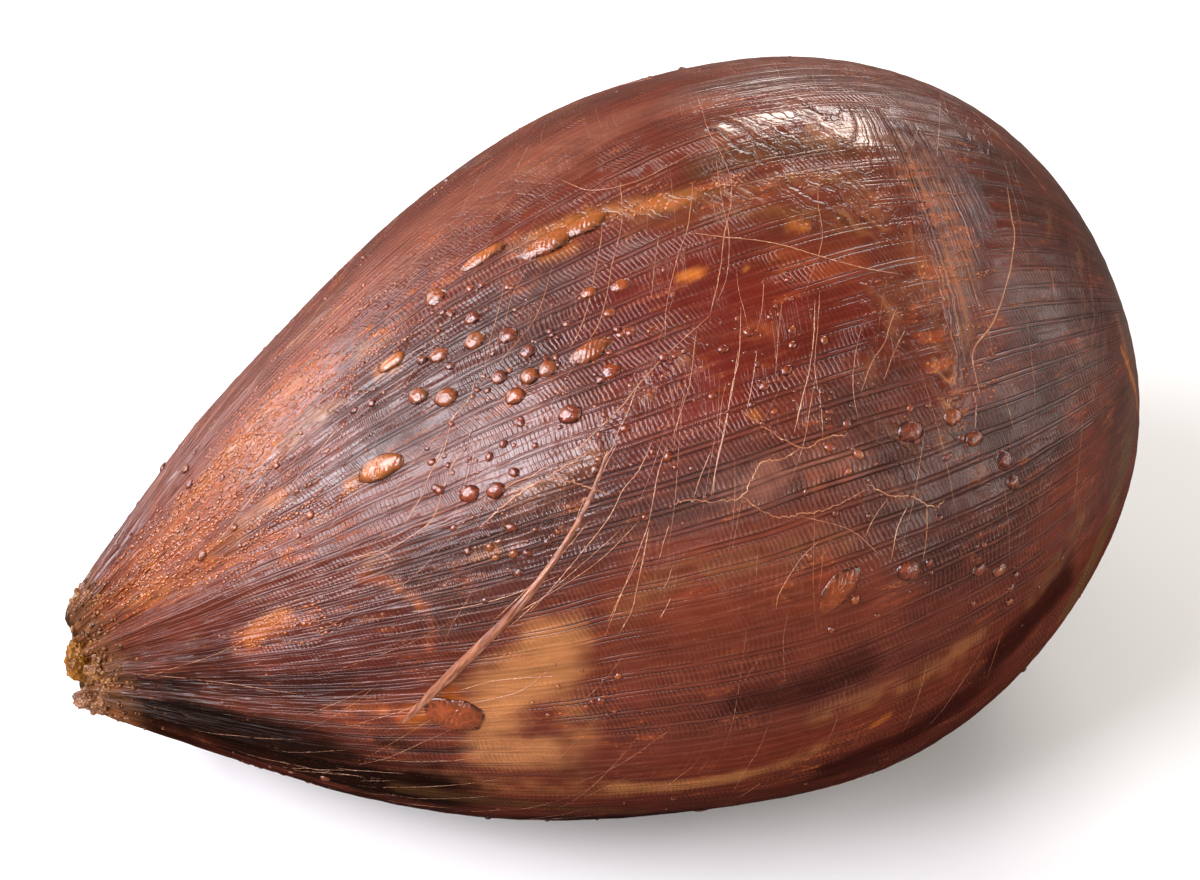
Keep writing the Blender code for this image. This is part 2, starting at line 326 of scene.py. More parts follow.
# Painted areas of the shown side: tone, strength, half width in pixels, line in pixels
SHOWN_AREAS = (
    ("rosy brown", 0.75, 62, ((165, 545), (260, 400), (400, 250), (560, 150))),
    # Partly painted sheen: the grey brown here and along the top edge is the skin's tone with a grey reflection painted
    # in.
    ("grey brown", 0.60, 16, ((330, 262), (400, 205), (480, 160))),
    ("grey brown", 0.55, 34, ((700, 95), (800, 75), (900, 95), (980, 150))),
    ("purple brown", 0.85, 70, ((400, 400), (470, 330), (560, 320))),
    ("purple brown", 0.90, 55, ((440, 590), (560, 540), (640, 500), (760, 480))),
    ("purple brown", 0.90, 75, ((860, 420), (960, 480), (1040, 400))),
    # Partly painted sheen: grey brown over the right side, the skin's tone with a grey reflection painted in.
    ("grey brown", 0.65, 45, ((1020, 300), (1070, 300), (1090, 360))),
    ("purple brown", 0.70, 40, ((900, 560), (980, 550), (1040, 500))),
    ("deep red", 0.95, 55, ((610, 310), (690, 290), (770, 320), (720, 380), (640, 350))),
    ("deep red", 0.85, 34, ((740, 290), (820, 280), (860, 330))),
    ("deep red", 0.60, 45, ((700, 430), (640, 460), (720, 400))),
    ("red brown", 0.90, 60, ((650, 650), (760, 610), (860, 600))),
    ("red brown", 0.55, 30, ((640, 560), (740, 540), (820, 530))),
    ("red brown", 0.70, 40, ((1050, 520), (1085, 470), (1100, 400))),
    ("rosy brown", 0.70, 26, ((600, 130), (660, 108), (720, 100))),
    ("mahogany", 0.80, 30, ((620, 170), (720, 140), (820, 150))),
    ("gold olive", 0.55, 11, ((512, 246), (560, 226), (620, 208), (700, 196), (770, 182), (850, 178))),
    ("gold olive", 0.45, 11, ((640, 222), (720, 214), (800, 212), (860, 230))),
    ("amber", 0.55, 9, ((514, 243), (545, 238), (575, 218), (592, 212))),
    ("amber", 0.45, 8, ((524, 254), (548, 256), (572, 248))),
    ("amber", 0.45, 9, ((600, 214), (650, 206), (690, 198))),
    ("dark olive", 0.55, 16, ((700, 168), (770, 150), (850, 150))),
    ("film pink", 0.40, 36, ((790, 100), (900, 140), (960, 180))),
    ("film gold", 0.18, 22, ((900, 150), (955, 195), (965, 250), (950, 290))),
    ("film gold", 0.14, 34, ((900, 290), (940, 260), (970, 300), (950, 340))),
    ("film gold", 0.28, 13, ((962, 330), (956, 370), (950, 410), (945, 440))),
    ("amber", 0.18, 14, ((920, 270), (950, 265), (930, 300))),
    ("film gold", 0.16, 9, ((898, 305), (884, 343), (872, 362), (862, 392))),
    ("orange red", 0.40, 24, ((780, 262), (815, 270), (850, 262))),
    ("orange", 0.50, 6, ((792, 224), (804, 226))),
    ("orange red", 0.60, 11, ((748, 326), (766, 334))),
    ("amber", 0.50, 4, ((747, 268),)),
    ("amber", 0.50, 4, ((771, 261),)),
    ("orange", 0.85, 6, ((682, 277), (700, 273))),
    ("film pink", 0.55, 26, ((740, 488), (800, 466), (850, 462))),
    ("orange red", 0.45, 12, ((810, 482), (845, 472))),
    ("tan brown", 0.60, 14, ((520, 500), (552, 482), (590, 458))),
    ("tan brown", 0.75, 26, ((560, 690), (580, 725), (570, 755))),
    ("tan", 0.85, 34, ((490, 718), (515, 690), (545, 655))),
    ("tan", 0.60, 20, ((540, 638), (572, 630))),
    ("tan brown", 0.60, 18, ((430, 776), (500, 785), (580, 788), (620, 790))),
    ("tan", 0.75, 20, ((478, 750), (510, 754), (545, 750))),
    ("tan brown", 0.50, 16, ((620, 610), (680, 575), (760, 560), (840, 540))),
    ("tan", 0.60, 12, ((620, 788), (680, 786), (740, 776))),
    ("tan brown", 0.80, 11, ((740, 776), (790, 762), (830, 742))),
    ("tan brown", 0.70, 16, ((820, 716), (880, 694), (930, 672), (975, 640))),
    ("orange", 0.40, 5, ((872, 726), (888, 716))),
    ("mahogany", 0.85, 14, ((598, 757), (660, 756), (730, 748))),
    ("dark red", 0.70, 24, ((740, 700), (800, 690), (860, 660))),
    # Painted shade: a dark red band along the bottom edge at the butt end.
    ("dark red", 0.95, 26, ((830, 768), (900, 738), (970, 690), (1020, 630), (1065, 575))),
    ("olive", 0.85, 22, ((1070, 606), (1095, 556), (1115, 500), (1128, 450))),
    ("tan brown", 0.45, 12, ((1030, 600), (1060, 560), (1080, 520))),
    ("orange", 0.75, 6, ((1122, 350), (1134, 385), (1138, 410))),
    ("orange", 0.35, 9, ((1118, 320), (1128, 360))),
    # Painted shade: near black along the underside at the shank end.
    ("near black", 1.00, 60, ((128, 712), (190, 722), (260, 745), (330, 770), (430, 795))),
    ("maroon", 0.85, 46, ((230, 660), (310, 650), (380, 640))),
    ("purple brown", 0.80, 50, ((1000, 170), (1050, 240), (1090, 320))),
    # Painted shade: near black on the lower flank at the shank end.
    ("near black", 0.55, 30, ((200, 670), (270, 690), (350, 700))),
    ("brown", 0.75, 12, ((400, 788), (480, 800), (560, 808), (640, 812))),
    # Painted shade: near black along the bottom edge.
    ("near black", 0.80, 14, ((330, 794), (440, 810), (560, 818), (700, 814))),
    # Partly painted sheen: grey brown along the right edge, the skin's tone with a grey reflection painted in.
    ("grey brown", 0.45, 40, ((1060, 180), (1100, 250), (1125, 330))),
    ("orange", 0.68, 9, ((250, 638), (266, 625), (284, 616))),
    ("orange red", 0.55, 14, ((240, 645), (290, 630), (310, 618))),
    ("orange red", 0.60, 5, ((362, 578), (392, 582), (418, 600), (430, 625), (428, 650))),
    ("amber", 0.35, 3, ((388, 582), (410, 596), (426, 618))),
    ("tan brown", 0.80, 8, ((365, 562), (384, 562))),
    ("pocket", 0.95, 15, ((410, 719), (435, 708), (452, 702))),
    ("orange red", 0.80, 10, ((330, 712), (372, 708), (400, 716))),
    ("amber", 0.50, 5, ((345, 708), (385, 712))),
    ("near black", 0.70, 8, ((380, 742), (430, 750), (470, 748))),
    ("amber", 0.60, 8, ((350, 486), (378, 467), (390, 458))),
    ("film gold", 0.70, 10, ((362, 352), (378, 342), (392, 330))),
    ("film gold", 0.60, 8, ((310, 326), (336, 312))),
    ("film gold", 0.60, 8, ((290, 345), (305, 335))),
    ("film gold", 0.60, 8, ((318, 420), (338, 402))),
    ("film gold", 0.50, 12, ((250, 470), (290, 440), (320, 410))),
    ("amber", 0.34, 12, ((190, 575), (228, 540), (262, 505))),
    ("amber", 0.45, 10, ((150, 560), (200, 490), (250, 430), (300, 380))),
    ("film pink", 0.45, 14, ((170, 600), (240, 560), (320, 520))),
    ("film pink", 0.40, 16, ((180, 540), (250, 460), (330, 380))),
    ("orange", 0.45, 9, ((270, 500), (280, 495))),
    ("amber", 0.55, 12, ((125, 600), (150, 596), (165, 584))),
    ("amber", 0.60, 9, ((395, 364), (380, 370))),
    ("orange red", 0.50, 12, ((512, 284), (526, 280))),
    ("amber", 0.55, 6, ((474, 262), (498, 248))),
    ("amber", 0.60, 6, ((476, 556), (494, 550))),
    ("orange red", 0.55, 6, ((510, 544), (522, 540))),
    ("orange", 0.60, 6, ((752, 414), (758, 418))),
)

# Painted areas of the other sides: tone, strength, half width in metres, line of shares and degrees
HIDDEN_AREAS = (
    ("rosy brown", 0.60, 0.022, ((0.12, 135), (0.35, 140), (0.55, 132))),
    ("purple brown", 0.85, 0.028, ((0.45, 165), (0.65, 172), (0.80, 160))),
    ("deep red", 0.85, 0.020, ((0.50, 195), (0.62, 200), (0.72, 192))),
    ("red brown", 0.80, 0.022, ((0.30, 190), (0.42, 205), (0.55, 222))),
    ("gold olive", 0.50, 0.006, ((0.36, 152), (0.48, 150), (0.62, 146), (0.74, 148))),
    ("amber", 0.35, 0.004, ((0.40, 152), (0.50, 149))),
    ("film gold", 0.30, 0.012, ((0.78, 130), (0.84, 150), (0.82, 175))),
    ("film pink", 0.50, 0.014, ((0.68, 118), (0.80, 112), (0.90, 120))),
    ("tan brown", 0.70, 0.012, ((0.34, 214), (0.42, 218), (0.52, 214))),
    ("tan brown", 0.60, 0.009, ((0.50, 218), (0.66, 224), (0.80, 216))),
    ("orange red", 0.55, 0.006, ((0.22, 176), (0.29, 184), (0.31, 196))),
    ("orange red", 0.50, 0.004, ((0.16, 160), (0.19, 158))),
    ("olive", 0.60, 0.012, ((0.90, 200), (0.95, 180), (0.93, 150))),
    ("olive", 0.50, 0.010, ((0.93, 20), (0.97, 60), (0.95, 110))),
    ("purple brown", 0.70, 0.020, ((0.90, 30), (0.97, 90), (0.94, 170))),
    # Painted shade: dark red along the bottom edge of the near side at the butt end, and near black and dark red along
    # the underside of the far side.
    ("dark red", 0.80, 0.016, ((0.60, -48), (0.80, -44), (0.95, -50))),
    ("near black", 0.80, 0.016, ((0.10, 215), (0.25, 228), (0.45, 236))),
    ("dark red", 0.75, 0.018, ((0.55, 238), (0.75, 236), (0.92, 232))),
)

# How strongly a finish shows: value, half width in pixels, line in pixels
KNIT_AREAS = (
    (1.00, 80, ((840, 440), (940, 470), (1040, 400), (1060, 330))),
    (1.00, 55, ((400, 620), (500, 560), (620, 500), (700, 470))),
    (0.85, 60, ((380, 420), (470, 360), (560, 330), (620, 340))),
    (0.85, 40, ((880, 560), (980, 540), (1040, 480))),
    (0.70, 36, ((300, 660), (400, 610), (420, 570))),
    (0.15, 46, ((680, 290), (780, 310), (720, 360))),
    (0.22, 45, ((700, 620), (800, 600), (880, 590))),
    (0.06, 40, ((460, 700), (560, 740), (680, 760), (800, 740))),
    (0.15, 40, ((500, 700), (560, 660))),
    (0.15, 26, ((560, 230), (700, 200), (860, 190))),
    (0.30, 40, ((700, 110), (830, 120), (930, 160))),
    (0.20, 20, ((950, 200), (965, 280), (955, 380))),
    (0.10, 50, ((150, 600), (220, 500), (300, 380), (400, 250), (560, 150), (700, 95), (860, 80))),
)
FILM_AREAS = (
    (1.00, 44, ((740, 130), (820, 120), (900, 150), (960, 200))),
    (0.80, 40, ((800, 190), (880, 210), (940, 260))),
    (1.00, 26, ((950, 190), (968, 260), (955, 330), (950, 420))),
    (0.45, 50, ((980, 130), (1040, 200), (1090, 290))),
    (0.80, 26, ((880, 300), (920, 300), (880, 360))),
    (0.55, 14, ((520, 246), (600, 215), (700, 200), (800, 190))),
    (0.60, 22, ((870, 430), (930, 440), (900, 480))),
    (0.70, 14, ((540, 490), (590, 455), (640, 400), (690, 345))),
    (0.60, 30, ((130, 590), (200, 500), (280, 400), (340, 340))),
    (0.35, 50, ((300, 400), (420, 260), (560, 160))),
)
FLECK_AREAS = (
    (1.00, 42, ((130, 590), (190, 520), (250, 440), (310, 370))),
    (0.70, 22, ((110, 610), (150, 600), (220, 560), (300, 540))),
    (0.45, 18, ((330, 350), (390, 320), (450, 270))),
    (0.60, 20, ((920, 180), (960, 240), (930, 300), (950, 400))),
    (0.40, 16, ((520, 250), (620, 210), (760, 190))),
)
GLOSS_AREAS = (
    (1.00, 90, ((300, 440), (430, 380), (540, 460))),
    (1.00, 70, ((760, 110), (880, 130), (980, 200))),
    (0.55, 60, ((660, 300), (780, 330))),
    (0.35, 50, ((700, 640), (860, 620))),
    (0.30, 40, ((500, 700), (570, 670))),
    (0.12, 40, ((700, 770), (860, 720), (1000, 640), (1100, 540))),
    (0.12, 40, ((140, 726), (300, 764), (460, 792), (620, 802))),
)


class SkinField:
    """Places of the skin's vertices, bent a little so that painted edges are ragged."""

    def __init__(self, along, around, points):
        self.along, self.around, self.points = along, around, points
        streak = np.stack((9 * np.cos(around), 9 * np.sin(around), 2.6 * along), axis=-1)
        self.streak = noise_at(streak, 1.0, 3.0)
        self.fine_streak = noise_at(streak * np.array((2.6, 2.6, 1.5)), 1.0, 8.0)
        self.blotch = noise_at(points, 0.012, 1.0)
        self.grain = noise_at(points, 0.0035, 5.0)
        self.ragged = 0.32 * self.streak + 0.14 * self.blotch + 0.36 * self.fine_streak + 0.14 * self.grain
        self.broken = clamp(0.72 + 1.1 * self.grain + 0.7 * self.fine_streak, 0.08, 1.15)

    def nearness(self, line, half_width, core=0.28):
        """1 on a line over the skin, 0 past its half width."""
        near = np.zeros(len(self.points))
        low = line.min(0) - 1.5 * half_width
        high = line.max(0) + 1.5 * half_width
        inside = ((self.points > low) & (self.points < high)).all(-1)
        points = self.points[inside]
        if not len(points):
            return near
        gap = np.full(len(points), 1e9)
        for knot in line:
            gap = np.minimum(gap, ((points - knot) ** 2).sum(-1))
        share = np.sqrt(gap) / half_width + self.ragged[inside]
        near[inside] = 1 - smoothstep(share, core, 1.3)
        return near


def shown_line(pixels):
    """Points on the skin along a line of pixels."""
    route = CHART.route(pixels, 10)
    return skin(route[:, 0], route[:, 1])


def hidden_line(places):
    """Points on the skin along a line of shares and degrees."""
    route = smooth_route([(along, math.radians(turn)) for along, turn in places], 10)
    return skin(route[:, 0], route[:, 1])


def painted_tones(field):
    """Linear colour of each vertex of the skin."""
    tones = np.tile(np.array(TONES["mahogany"]), (len(field.points), 1))
    # Painted shade: where the skin faces down, the tone turns towards dark red, darker towards the bottom.
    under = smoothstep(-outward(field.along, field.around)[:, 2], -0.05, 0.75)
    tones = tones * (1 - under[:, None]) + np.array(TONES["dark red"]) * under[:, None]
    for tone, strength, half_width, places in HIDDEN_AREAS:
        near = strength * field.nearness(hidden_line(places), half_width)[:, None]
        if tone in CRUSTY:
            near = clamp(near * field.broken[:, None])
        tones = tones * (1 - near) + np.array(TONES[tone]) * near
    for tone, strength, half_width, pixels in SHOWN_AREAS:
        near = strength * field.nearness(shown_line(pixels), half_width * PIXEL)[:, None]
        if tone in CRUSTY:
            near = clamp(near * field.broken[:, None])
        tones = tones * (1 - near) + np.array(TONES[tone]) * near
    return tones * (1 + 0.22 * field.streak + 0.12 * field.fine_streak + 0.10 * field.blotch)[:, None]


def painted_mask(field, start, areas):
    """Strength of a finish at each vertex, from a start value and the areas laid over it."""
    mask = np.array(start, float)
    for value, half_width, pixels in areas:
        near = field.nearness(shown_line(pixels), half_width * PIXEL, 0.3)
        mask = mask * (1 - near) + value * near
    return clamp(mask)


class Wire:
    """A node's output that can stand in a sum."""

    def __init__(self, graph, socket):
        self.graph = graph
        self.socket = socket

    def math(self, operation, *others):
        return self.graph.node("ShaderNodeMath", {"operation": operation}, (self, *others))

    def __add__(self, other):
        return self.math("ADD", other)

    def __mul__(self, other):
        return self.math("MULTIPLY", other)

    def __sub__(self, other):
        return self.math("SUBTRACT", other)

    def __rsub__(self, other):
        return self.graph.node("ShaderNodeMath", {"operation": "SUBTRACT"}, (other, self))

    def __pow__(self, other):
        return self.math("POWER", other)

    __radd__ = __add__
    __rmul__ = __mul__


class Graph:
    """A new material and the nodes that drive its shader."""

    def __init__(self, name, roughness, **settings):
        self.material = bpy.data.materials.new(name)
        self.material.use_nodes = True
        self.tree = self.material.node_tree
        self.shader = self.tree.nodes["Principled BSDF"]
        self.shader.inputs["Roughness"].default_value = roughness
        for socket, value in settings.items():
            self.shader.inputs[socket.replace("_", " ")].default_value = value

    def node(self, kind, settings=(), inputs=(), output=0):
        """Adds a node, sets it, feeds its sockets with values or wires, and gives one output."""
        node = self.tree.nodes.new(kind)
        for name, value in dict(settings).items():
            setattr(node, name, value)
        pairs = inputs.items() if isinstance(inputs, dict) else enumerate(inputs)
        for socket, value in pairs:
            if isinstance(value, Wire):
                self.tree.links.new(value.socket, node.inputs[socket])
            else:
                node.inputs[socket].default_value = value
        return Wire(self, node.outputs[output])

    def feed(self, socket, wire):
        self.tree.links.new(wire.socket, self.shader.inputs[socket])

    def mix(self, share, first, second):
        """A colour between two colours."""
        colours = {6: first, 7: second}
        for key, colour in colours.items():
            if isinstance(colour, tuple):
                colours[key] = (*colour, 1.0)
        return self.node("ShaderNodeMix", {"data_type": "RGBA"}, {0: share, **colours}, 2)

    def tint(self, colour, amount):
        """A colour made darker or lighter by a number."""
        return self.node("ShaderNodeVectorMath", {"operation": "SCALE"}, {0: colour, "Scale": amount})

    def ease(self, value, low, high):
        """0 below low, 1 above high, smooth between."""
        return self.node(
            "ShaderNodeMapRange",
            {"interpolation_type": "SMOOTHSTEP"},
            {"Value": value, "From Min": low, "From Max": high},
        )

    def stretch(self, vector, scale):
        return self.node("ShaderNodeVectorMath", {"operation": "MULTIPLY"}, (vector, scale))

    def grain(self, vector, scale, detail=2.0, roughness=0.5, distortion=0.0):
        """Smooth noise from 0 to 1 at so many lumps to a unit."""
        return self.node(
            "ShaderNodeTexNoise",
            {},
            {"Vector": vector, "Scale": scale, "Detail": detail, "Roughness": roughness, "Distortion": distortion},
        )

    def crease(self, vector, scale, detail=2.0, distortion=0.0):
        """Sharp ridges, 1 at their tops."""
        value = self.grain(vector, scale, detail, 0.55, distortion)
        return 1 - (value - 0.5).math("ABSOLUTE") * 6.0

    def swirl(self, vector, scale):
        """A small random shift of a vector, about 0."""
        noise = self.node("ShaderNodeTexNoise", {}, {"Vector": vector, "Scale": scale, "Detail": 2.0}, 1)
        return self.node("ShaderNodeVectorMath", {"operation": "SUBTRACT"}, (noise, (0.5, 0.5, 0.5)))

    def cells(self, vector, scale, feature="F1", output="Distance"):
        return self.node("ShaderNodeTexVoronoi", {"feature": feature}, {"Vector": vector, "Scale": scale}, output)

    def bump(self, height, strength=1.0):
        """Normals bent by a height in millimetres."""
        normal = self.node("ShaderNodeBump", {}, {"Strength": strength, "Distance": 0.001, "Height": height})
        self.feed("Normal", normal)


    def dry(self, share, roughness):
        """Blends the shader with one that has no gloss, by the share that is wet."""
        dry = self.tree.nodes.new("ShaderNodeBsdfPrincipled")
        dry.inputs["Roughness"].default_value = roughness
        dry.inputs["Specular IOR Level"].default_value = 0.02
        for socket in ("Base Color", "Normal"):
            wet = self.shader.inputs[socket].links[0].from_socket
            self.tree.links.new(wet, dry.inputs[socket])
        blend = self.tree.nodes.new("ShaderNodeMixShader")
        self.tree.links.new(share.socket, blend.inputs[0])
        self.tree.links.new(dry.outputs[0], blend.inputs[1])
        self.tree.links.new(self.shader.outputs[0], blend.inputs[2])
        self.tree.links.new(blend.outputs[0], self.tree.nodes["Material Output"].inputs["Surface"])


def attribute(graph, name, output="Color"):
    return graph.node("ShaderNodeAttribute", {"attribute_name": name}, (), output)


def parts_of(graph, colour):
    """The three channels of a colour, as numbers."""
    split = graph.node("ShaderNodeSeparateColor", {}, (colour,))
    return [Wire(graph, output) for output in split.socket.node.outputs]


def skin_material(finish):
    """Smoked skin: painted tones, stocking marks, gathers, crumpled film and beads of fat, with painted shade in its
    grooves, between its ribs and in the film's crevices, and painted highlights on its ribs, gathers and film crests.
    """
    graph = Graph(
        "cured skin",
        0.4,
        Specular_IOR_Level=finish.gloss,
    )
    tone = attribute(graph, "tone")
    knit, film, gather = parts_of(graph, attribute(graph, "relief_marks"))
    fleck, gloss, bare = parts_of(graph, attribute(graph, "finish_marks"))
    flow = attribute(graph, "flow", "Vector")
    lean = attribute(graph, "lean", "Vector")
    spot = graph.node("ShaderNodeTexCoord", {}, (), "Object")
    chart = graph.node("ShaderNodeUVMap", {"uv_map": "stitches"})
    wale, rib, _ = [
        Wire(graph, output)
        for output in graph.node("ShaderNodeSeparateXYZ", {}, (chart,)).socket.node.outputs
    ]

    # Stocking marks: a pair of grooves beside each column of stitches, and ribs across it
    wander = graph.grain(spot, 26.0, 1.0)
    soft = graph.grain(spot, 90.0, 2.0)
    column = (wale + wander * 0.55).math("FRACT")
    middle = (column - 0.5).math("ABSOLUTE")
    pair = (middle - 0.105).math("ABSOLUTE")
    groove = (1 - graph.ease(pair, 0.010, 0.055)) * knit
    between = 1 - graph.ease(middle, 0.10, 0.16)
    lip = 1 - graph.ease(middle, 0.18, 0.30)
    phase = (rib + column * 0.9 + soft * 1.6 + graph.grain(spot, 420.0, 1.0) * 0.35) * math.tau
    row = graph.ease(phase.math("SINE"), -0.6, 0.9)
    cord = (1 - graph.ease(middle, 0.02, 0.09)) * knit * (0.4 + graph.ease((phase * 2.0).math("SINE"), -0.5, 0.8) * 0.6)
    patchy = graph.ease(soft, 0.30, 0.62)
    band = (1 - between) * knit * (0.15 + patchy * 0.85)
    ribs = row * band * (0.75 + lip * 0.5)
    marks = ribs * finish.rib_depth + cord * 0.10 - groove * finish.groove_depth

    # Gathers: crisp ridges that run from the shank to the butt, where the stitches converge
    long_flow = graph.stretch(flow, (1.0, 1.0, 0.13))
    wide = graph.ease(graph.crease(long_flow, 18.0, 2.0, 0.25), 0.25, 1.0)
    sway = graph.grain(graph.stretch(flow, (1.0, 1.0, 0.5)), 5.0, 2.0) * 1.3
    broken = graph.ease(graph.grain(long_flow, 34.0, 2.0, 0.6), 0.34, 0.60)
    twin = (1 - ((wale * 2.0 + sway).math("FRACT") - 0.5).math("ABSOLUTE") * 2.0).math("MAXIMUM", 0.0) ** 5.0
    third = (1 - ((wale * 3.1 - sway * 0.7).math("FRACT") - 0.5).math("ABSOLUTE") * 2.0).math("MAXIMUM", 0.0) ** 6.0
    fine = twin * (0.35 + broken * 0.65) + third * (1 - broken) * 0.6
    gathers = gather * (wide * 0.35 + fine * 0.5) * finish.gather_depth

    # Fibres: fine lines that lean across the stitches
    hair = graph.ease(graph.crease(lean, 1.6, 1.0, 0.05), 0.80, 0.98)
    hair = hair * graph.ease(graph.grain(spot, 60.0, 3.0, 0.6), 0.50, 0.66)

    # Film: dried and crumpled
    fold_lines = attribute(graph, "fold_lines", "Vector")
    bent = fold_lines + graph.node("ShaderNodeVectorMath", {"operation": "SCALE"}, {0: graph.swirl(spot, 260.0), "Scale": 0.8})
    plate = graph.cells(bent, 1.25, "DISTANCE_TO_EDGE")
    splinter = graph.cells(bent, 3.1, "DISTANCE_TO_EDGE")
    crevice = (1 - graph.ease(plate, 0.0, 0.09)) * 0.7 + (1 - graph.ease(splinter, 0.0, 0.10)) * 0.35
    drawn = graph.ease(graph.crease(bent, 0.7, 2.0, 0.2), 0.1, 1.0)
    crumple = drawn * 0.55 + (1 - crevice) * 0.45
    folds = film * crumple * finish.film_depth
    golden = graph.ease(graph.grain(spot, 75.0, 3.0, 0.6) + fleck * 0.14, 0.44, 0.62) * film * (0.2 + fleck * 0.9)

    # Beads: tiny bubbles of fat under the skin, only where the skin is moist
    string = graph.grain(long_flow, 46.0, 3.0, 0.6, 0.3)
    patch = graph.ease(string + fleck * 0.16, 0.56, 0.66) * graph.ease(fleck, 0.10, 0.45)
    bead = 1 - graph.ease(graph.cells(spot, 760.0), 0.06, 0.46)
    beads = bead * patch
    pores = graph.grain(spot, 1300.0, 2.0)

    graph.bump(marks + gathers + folds + hair * 0.06 + beads * finish.bead_height + pores * 0.05)

    # Colour
    smoke = graph.grain(spot, 120.0, 4.0, 0.6)
    streak = graph.grain(long_flow, 30.0, 4.0, 0.62)
    colour = graph.tint(tone, 0.20 + smoke * 0.50 + streak * 0.76 + pores * 0.14)
    lit = graph.ease(parts_of(graph, tone)[0], 0.015, 0.11)
    colour = graph.mix(graph.ease(streak, 0.62, 0.80) * gather * lit * 0.3, colour, TONES["amber"])
    # Painted shade: the film darker in its crevices.
    colour = graph.tint(colour, 1 - film * (1 - crumple) * 0.55)
    colour = graph.mix(graph.ease(crumple, 0.45, 0.95) * golden * 0.50, colour, TONES["film gold"])
    # Painted highlight: pale glints on the highest crests of the film.
    colour = graph.mix(graph.ease(crumple, 0.84, 1.0) * golden * 0.35, colour, (0.60, 0.34, 0.16))
    # Painted sheen: rib tops and cords lighter and pinker, where the ribs catch light.
    colour = graph.mix((ribs * 0.15 + cord * 0.12) * lit, colour, TONES["film pink"])
    # Painted shade: darker between the ribs.
    colour = graph.tint(colour, 1 - (1 - row) * band * 0.48)
    # Painted shade: the grooves darkened towards near black.
    colour = graph.mix(groove * (0.45 + patchy * 0.40), colour, TONES["near black"])
    colour = graph.tint(colour, 1 - gather * 0.28)
    # Partly painted highlight: pale lines on the gathers, lighter than the local tone, stand for pale collagen lines
    # and for glints on the ridges.
    pale = graph.mix(lit * 0.30 + 0.01, graph.tint(tone, 1.9), (0.50, 0.26, 0.18))
    colour = graph.mix(gather * fine * 0.75, colour, pale)
    colour = graph.mix(hair * lit * 0.14, colour, TONES["film gold"])
    colour = graph.mix(patch * lit * 0.42, colour, TONES["orange red"])
    colour = graph.mix(beads * 0.8, colour, TONES["amber"])
    graph.feed("Base Color", colour)

    graph.feed("Roughness", finish.roughness + smoke * 0.14 + bare * 0.2 - beads * 0.1)
    graph.dry(gloss * (0.5 + lit * 0.5), 0.75)
    return graph.material


class HamSizes(bpy.types.PropertyGroup):
    """Sizes of the small raised details"""

    blister_rise: bpy.props.FloatProperty(
        name="Blister rise",
        description="Height of a blister as a share of its half width",
        default=0.52,
        min=0.1,
        max=1.0,
        subtype="FACTOR",
    )
    bubble_count: bpy.props.IntProperty(
        name="Bubbles", description="Small bubbles scattered over the skin", default=520, min=0, max=3000
    )
    thread_radius: bpy.props.FloatProperty(
        name="Thread radius",
        description="Half thickness of a dried collagen thread",
        default=0.00011,
        min=0.00005,
        max=0.001,
        precision=5,
        unit="LENGTH",
    )
    jelly_size: bpy.props.FloatProperty(
        name="Jelly size",
        description="Half height of the jelly at the shank end",
        default=0.0125,
        min=0.002,
        max=0.02,
        precision=4,
        unit="LENGTH",
    )


class HamFinish(bpy.types.PropertyGroup):
    """Gloss and relief of the skin"""

    gloss: bpy.props.FloatProperty(
        name="Gloss", description="Specular level of the moist skin", default=0.62, min=0, max=1
    )
    roughness: bpy.props.FloatProperty(
        name="Roughness", description="How blurred the moist skin's reflections are", default=0.10, min=0, max=1
    )
    rib_depth: bpy.props.FloatProperty(
        name="Rib depth", description="Height of the stocking ribs, in millimetres", default=0.22, min=0, max=1
    )
    groove_depth: bpy.props.FloatProperty(
        name="Groove depth", description="Depth of the stocking grooves, in millimetres", default=0.26, min=0, max=1
    )
    gather_depth: bpy.props.FloatProperty(
        name="Gather depth", description="Height of the gathers, in millimetres", default=0.55, min=0, max=2
    )
    film_depth: bpy.props.FloatProperty(
        name="Film crumple", description="Height of the crumpled film, in millimetres", default=0.55, min=0, max=2
    )
    bead_height: bpy.props.FloatProperty(
        name="Bead height", description="Height of the fat beads, in millimetres", default=0.30, min=0, max=1
    )


class HamStudio(bpy.types.PropertyGroup):
    """Floor and lights"""

    floor_colour: bpy.props.FloatVectorProperty(
        name="Floor", description="Colour of the floor", subtype="COLOR", default=(0.86, 0.86, 0.86), min=0, max=1
    )
    world_light: bpy.props.FloatProperty(
        name="Ambient", description="Strength of the even light all round", default=0.16, min=0, max=5
    )


def take_selected(name):
    """The primitive that was just added, named and with its mesh at the origin."""
    piece = bpy.context.object
    piece.name = name
    piece.data.name = name
    return piece


def deselect():
    if bpy.context.mode != "OBJECT":
        bpy.ops.object.mode_set(mode="OBJECT")
    bpy.ops.object.select_all(action="DESELECT")


def finish_piece(piece, material, sharp=None):
    """Gives a piece its material and shading, and lets it ride on the ham."""
    piece.data.materials.clear()
    piece.data.materials.append(material)
    piece.data.shade_smooth()
    if sharp is not None:
        piece.data.set_sharp_from_angle(angle=math.radians(sharp))
    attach(piece, BODY)
    return piece


def move_vertices(mesh, points):
    mesh.vertices.foreach_set("co", np.ascontiguousarray(points, np.float32).ravel())
    mesh.update()


def unit_places(mesh):
    """Vertices of a unit globe as polar angles from +Z and turns about it."""
    places = np.empty(len(mesh.vertices) * 3, np.float32)
    mesh.vertices.foreach_get("co", places)
    places = places.reshape(-1, 3).astype(float)
    return np.arccos(clamp(places[:, 2], -1.0, 1.0)), np.arctan2(places[:, 1], places[:, 0])


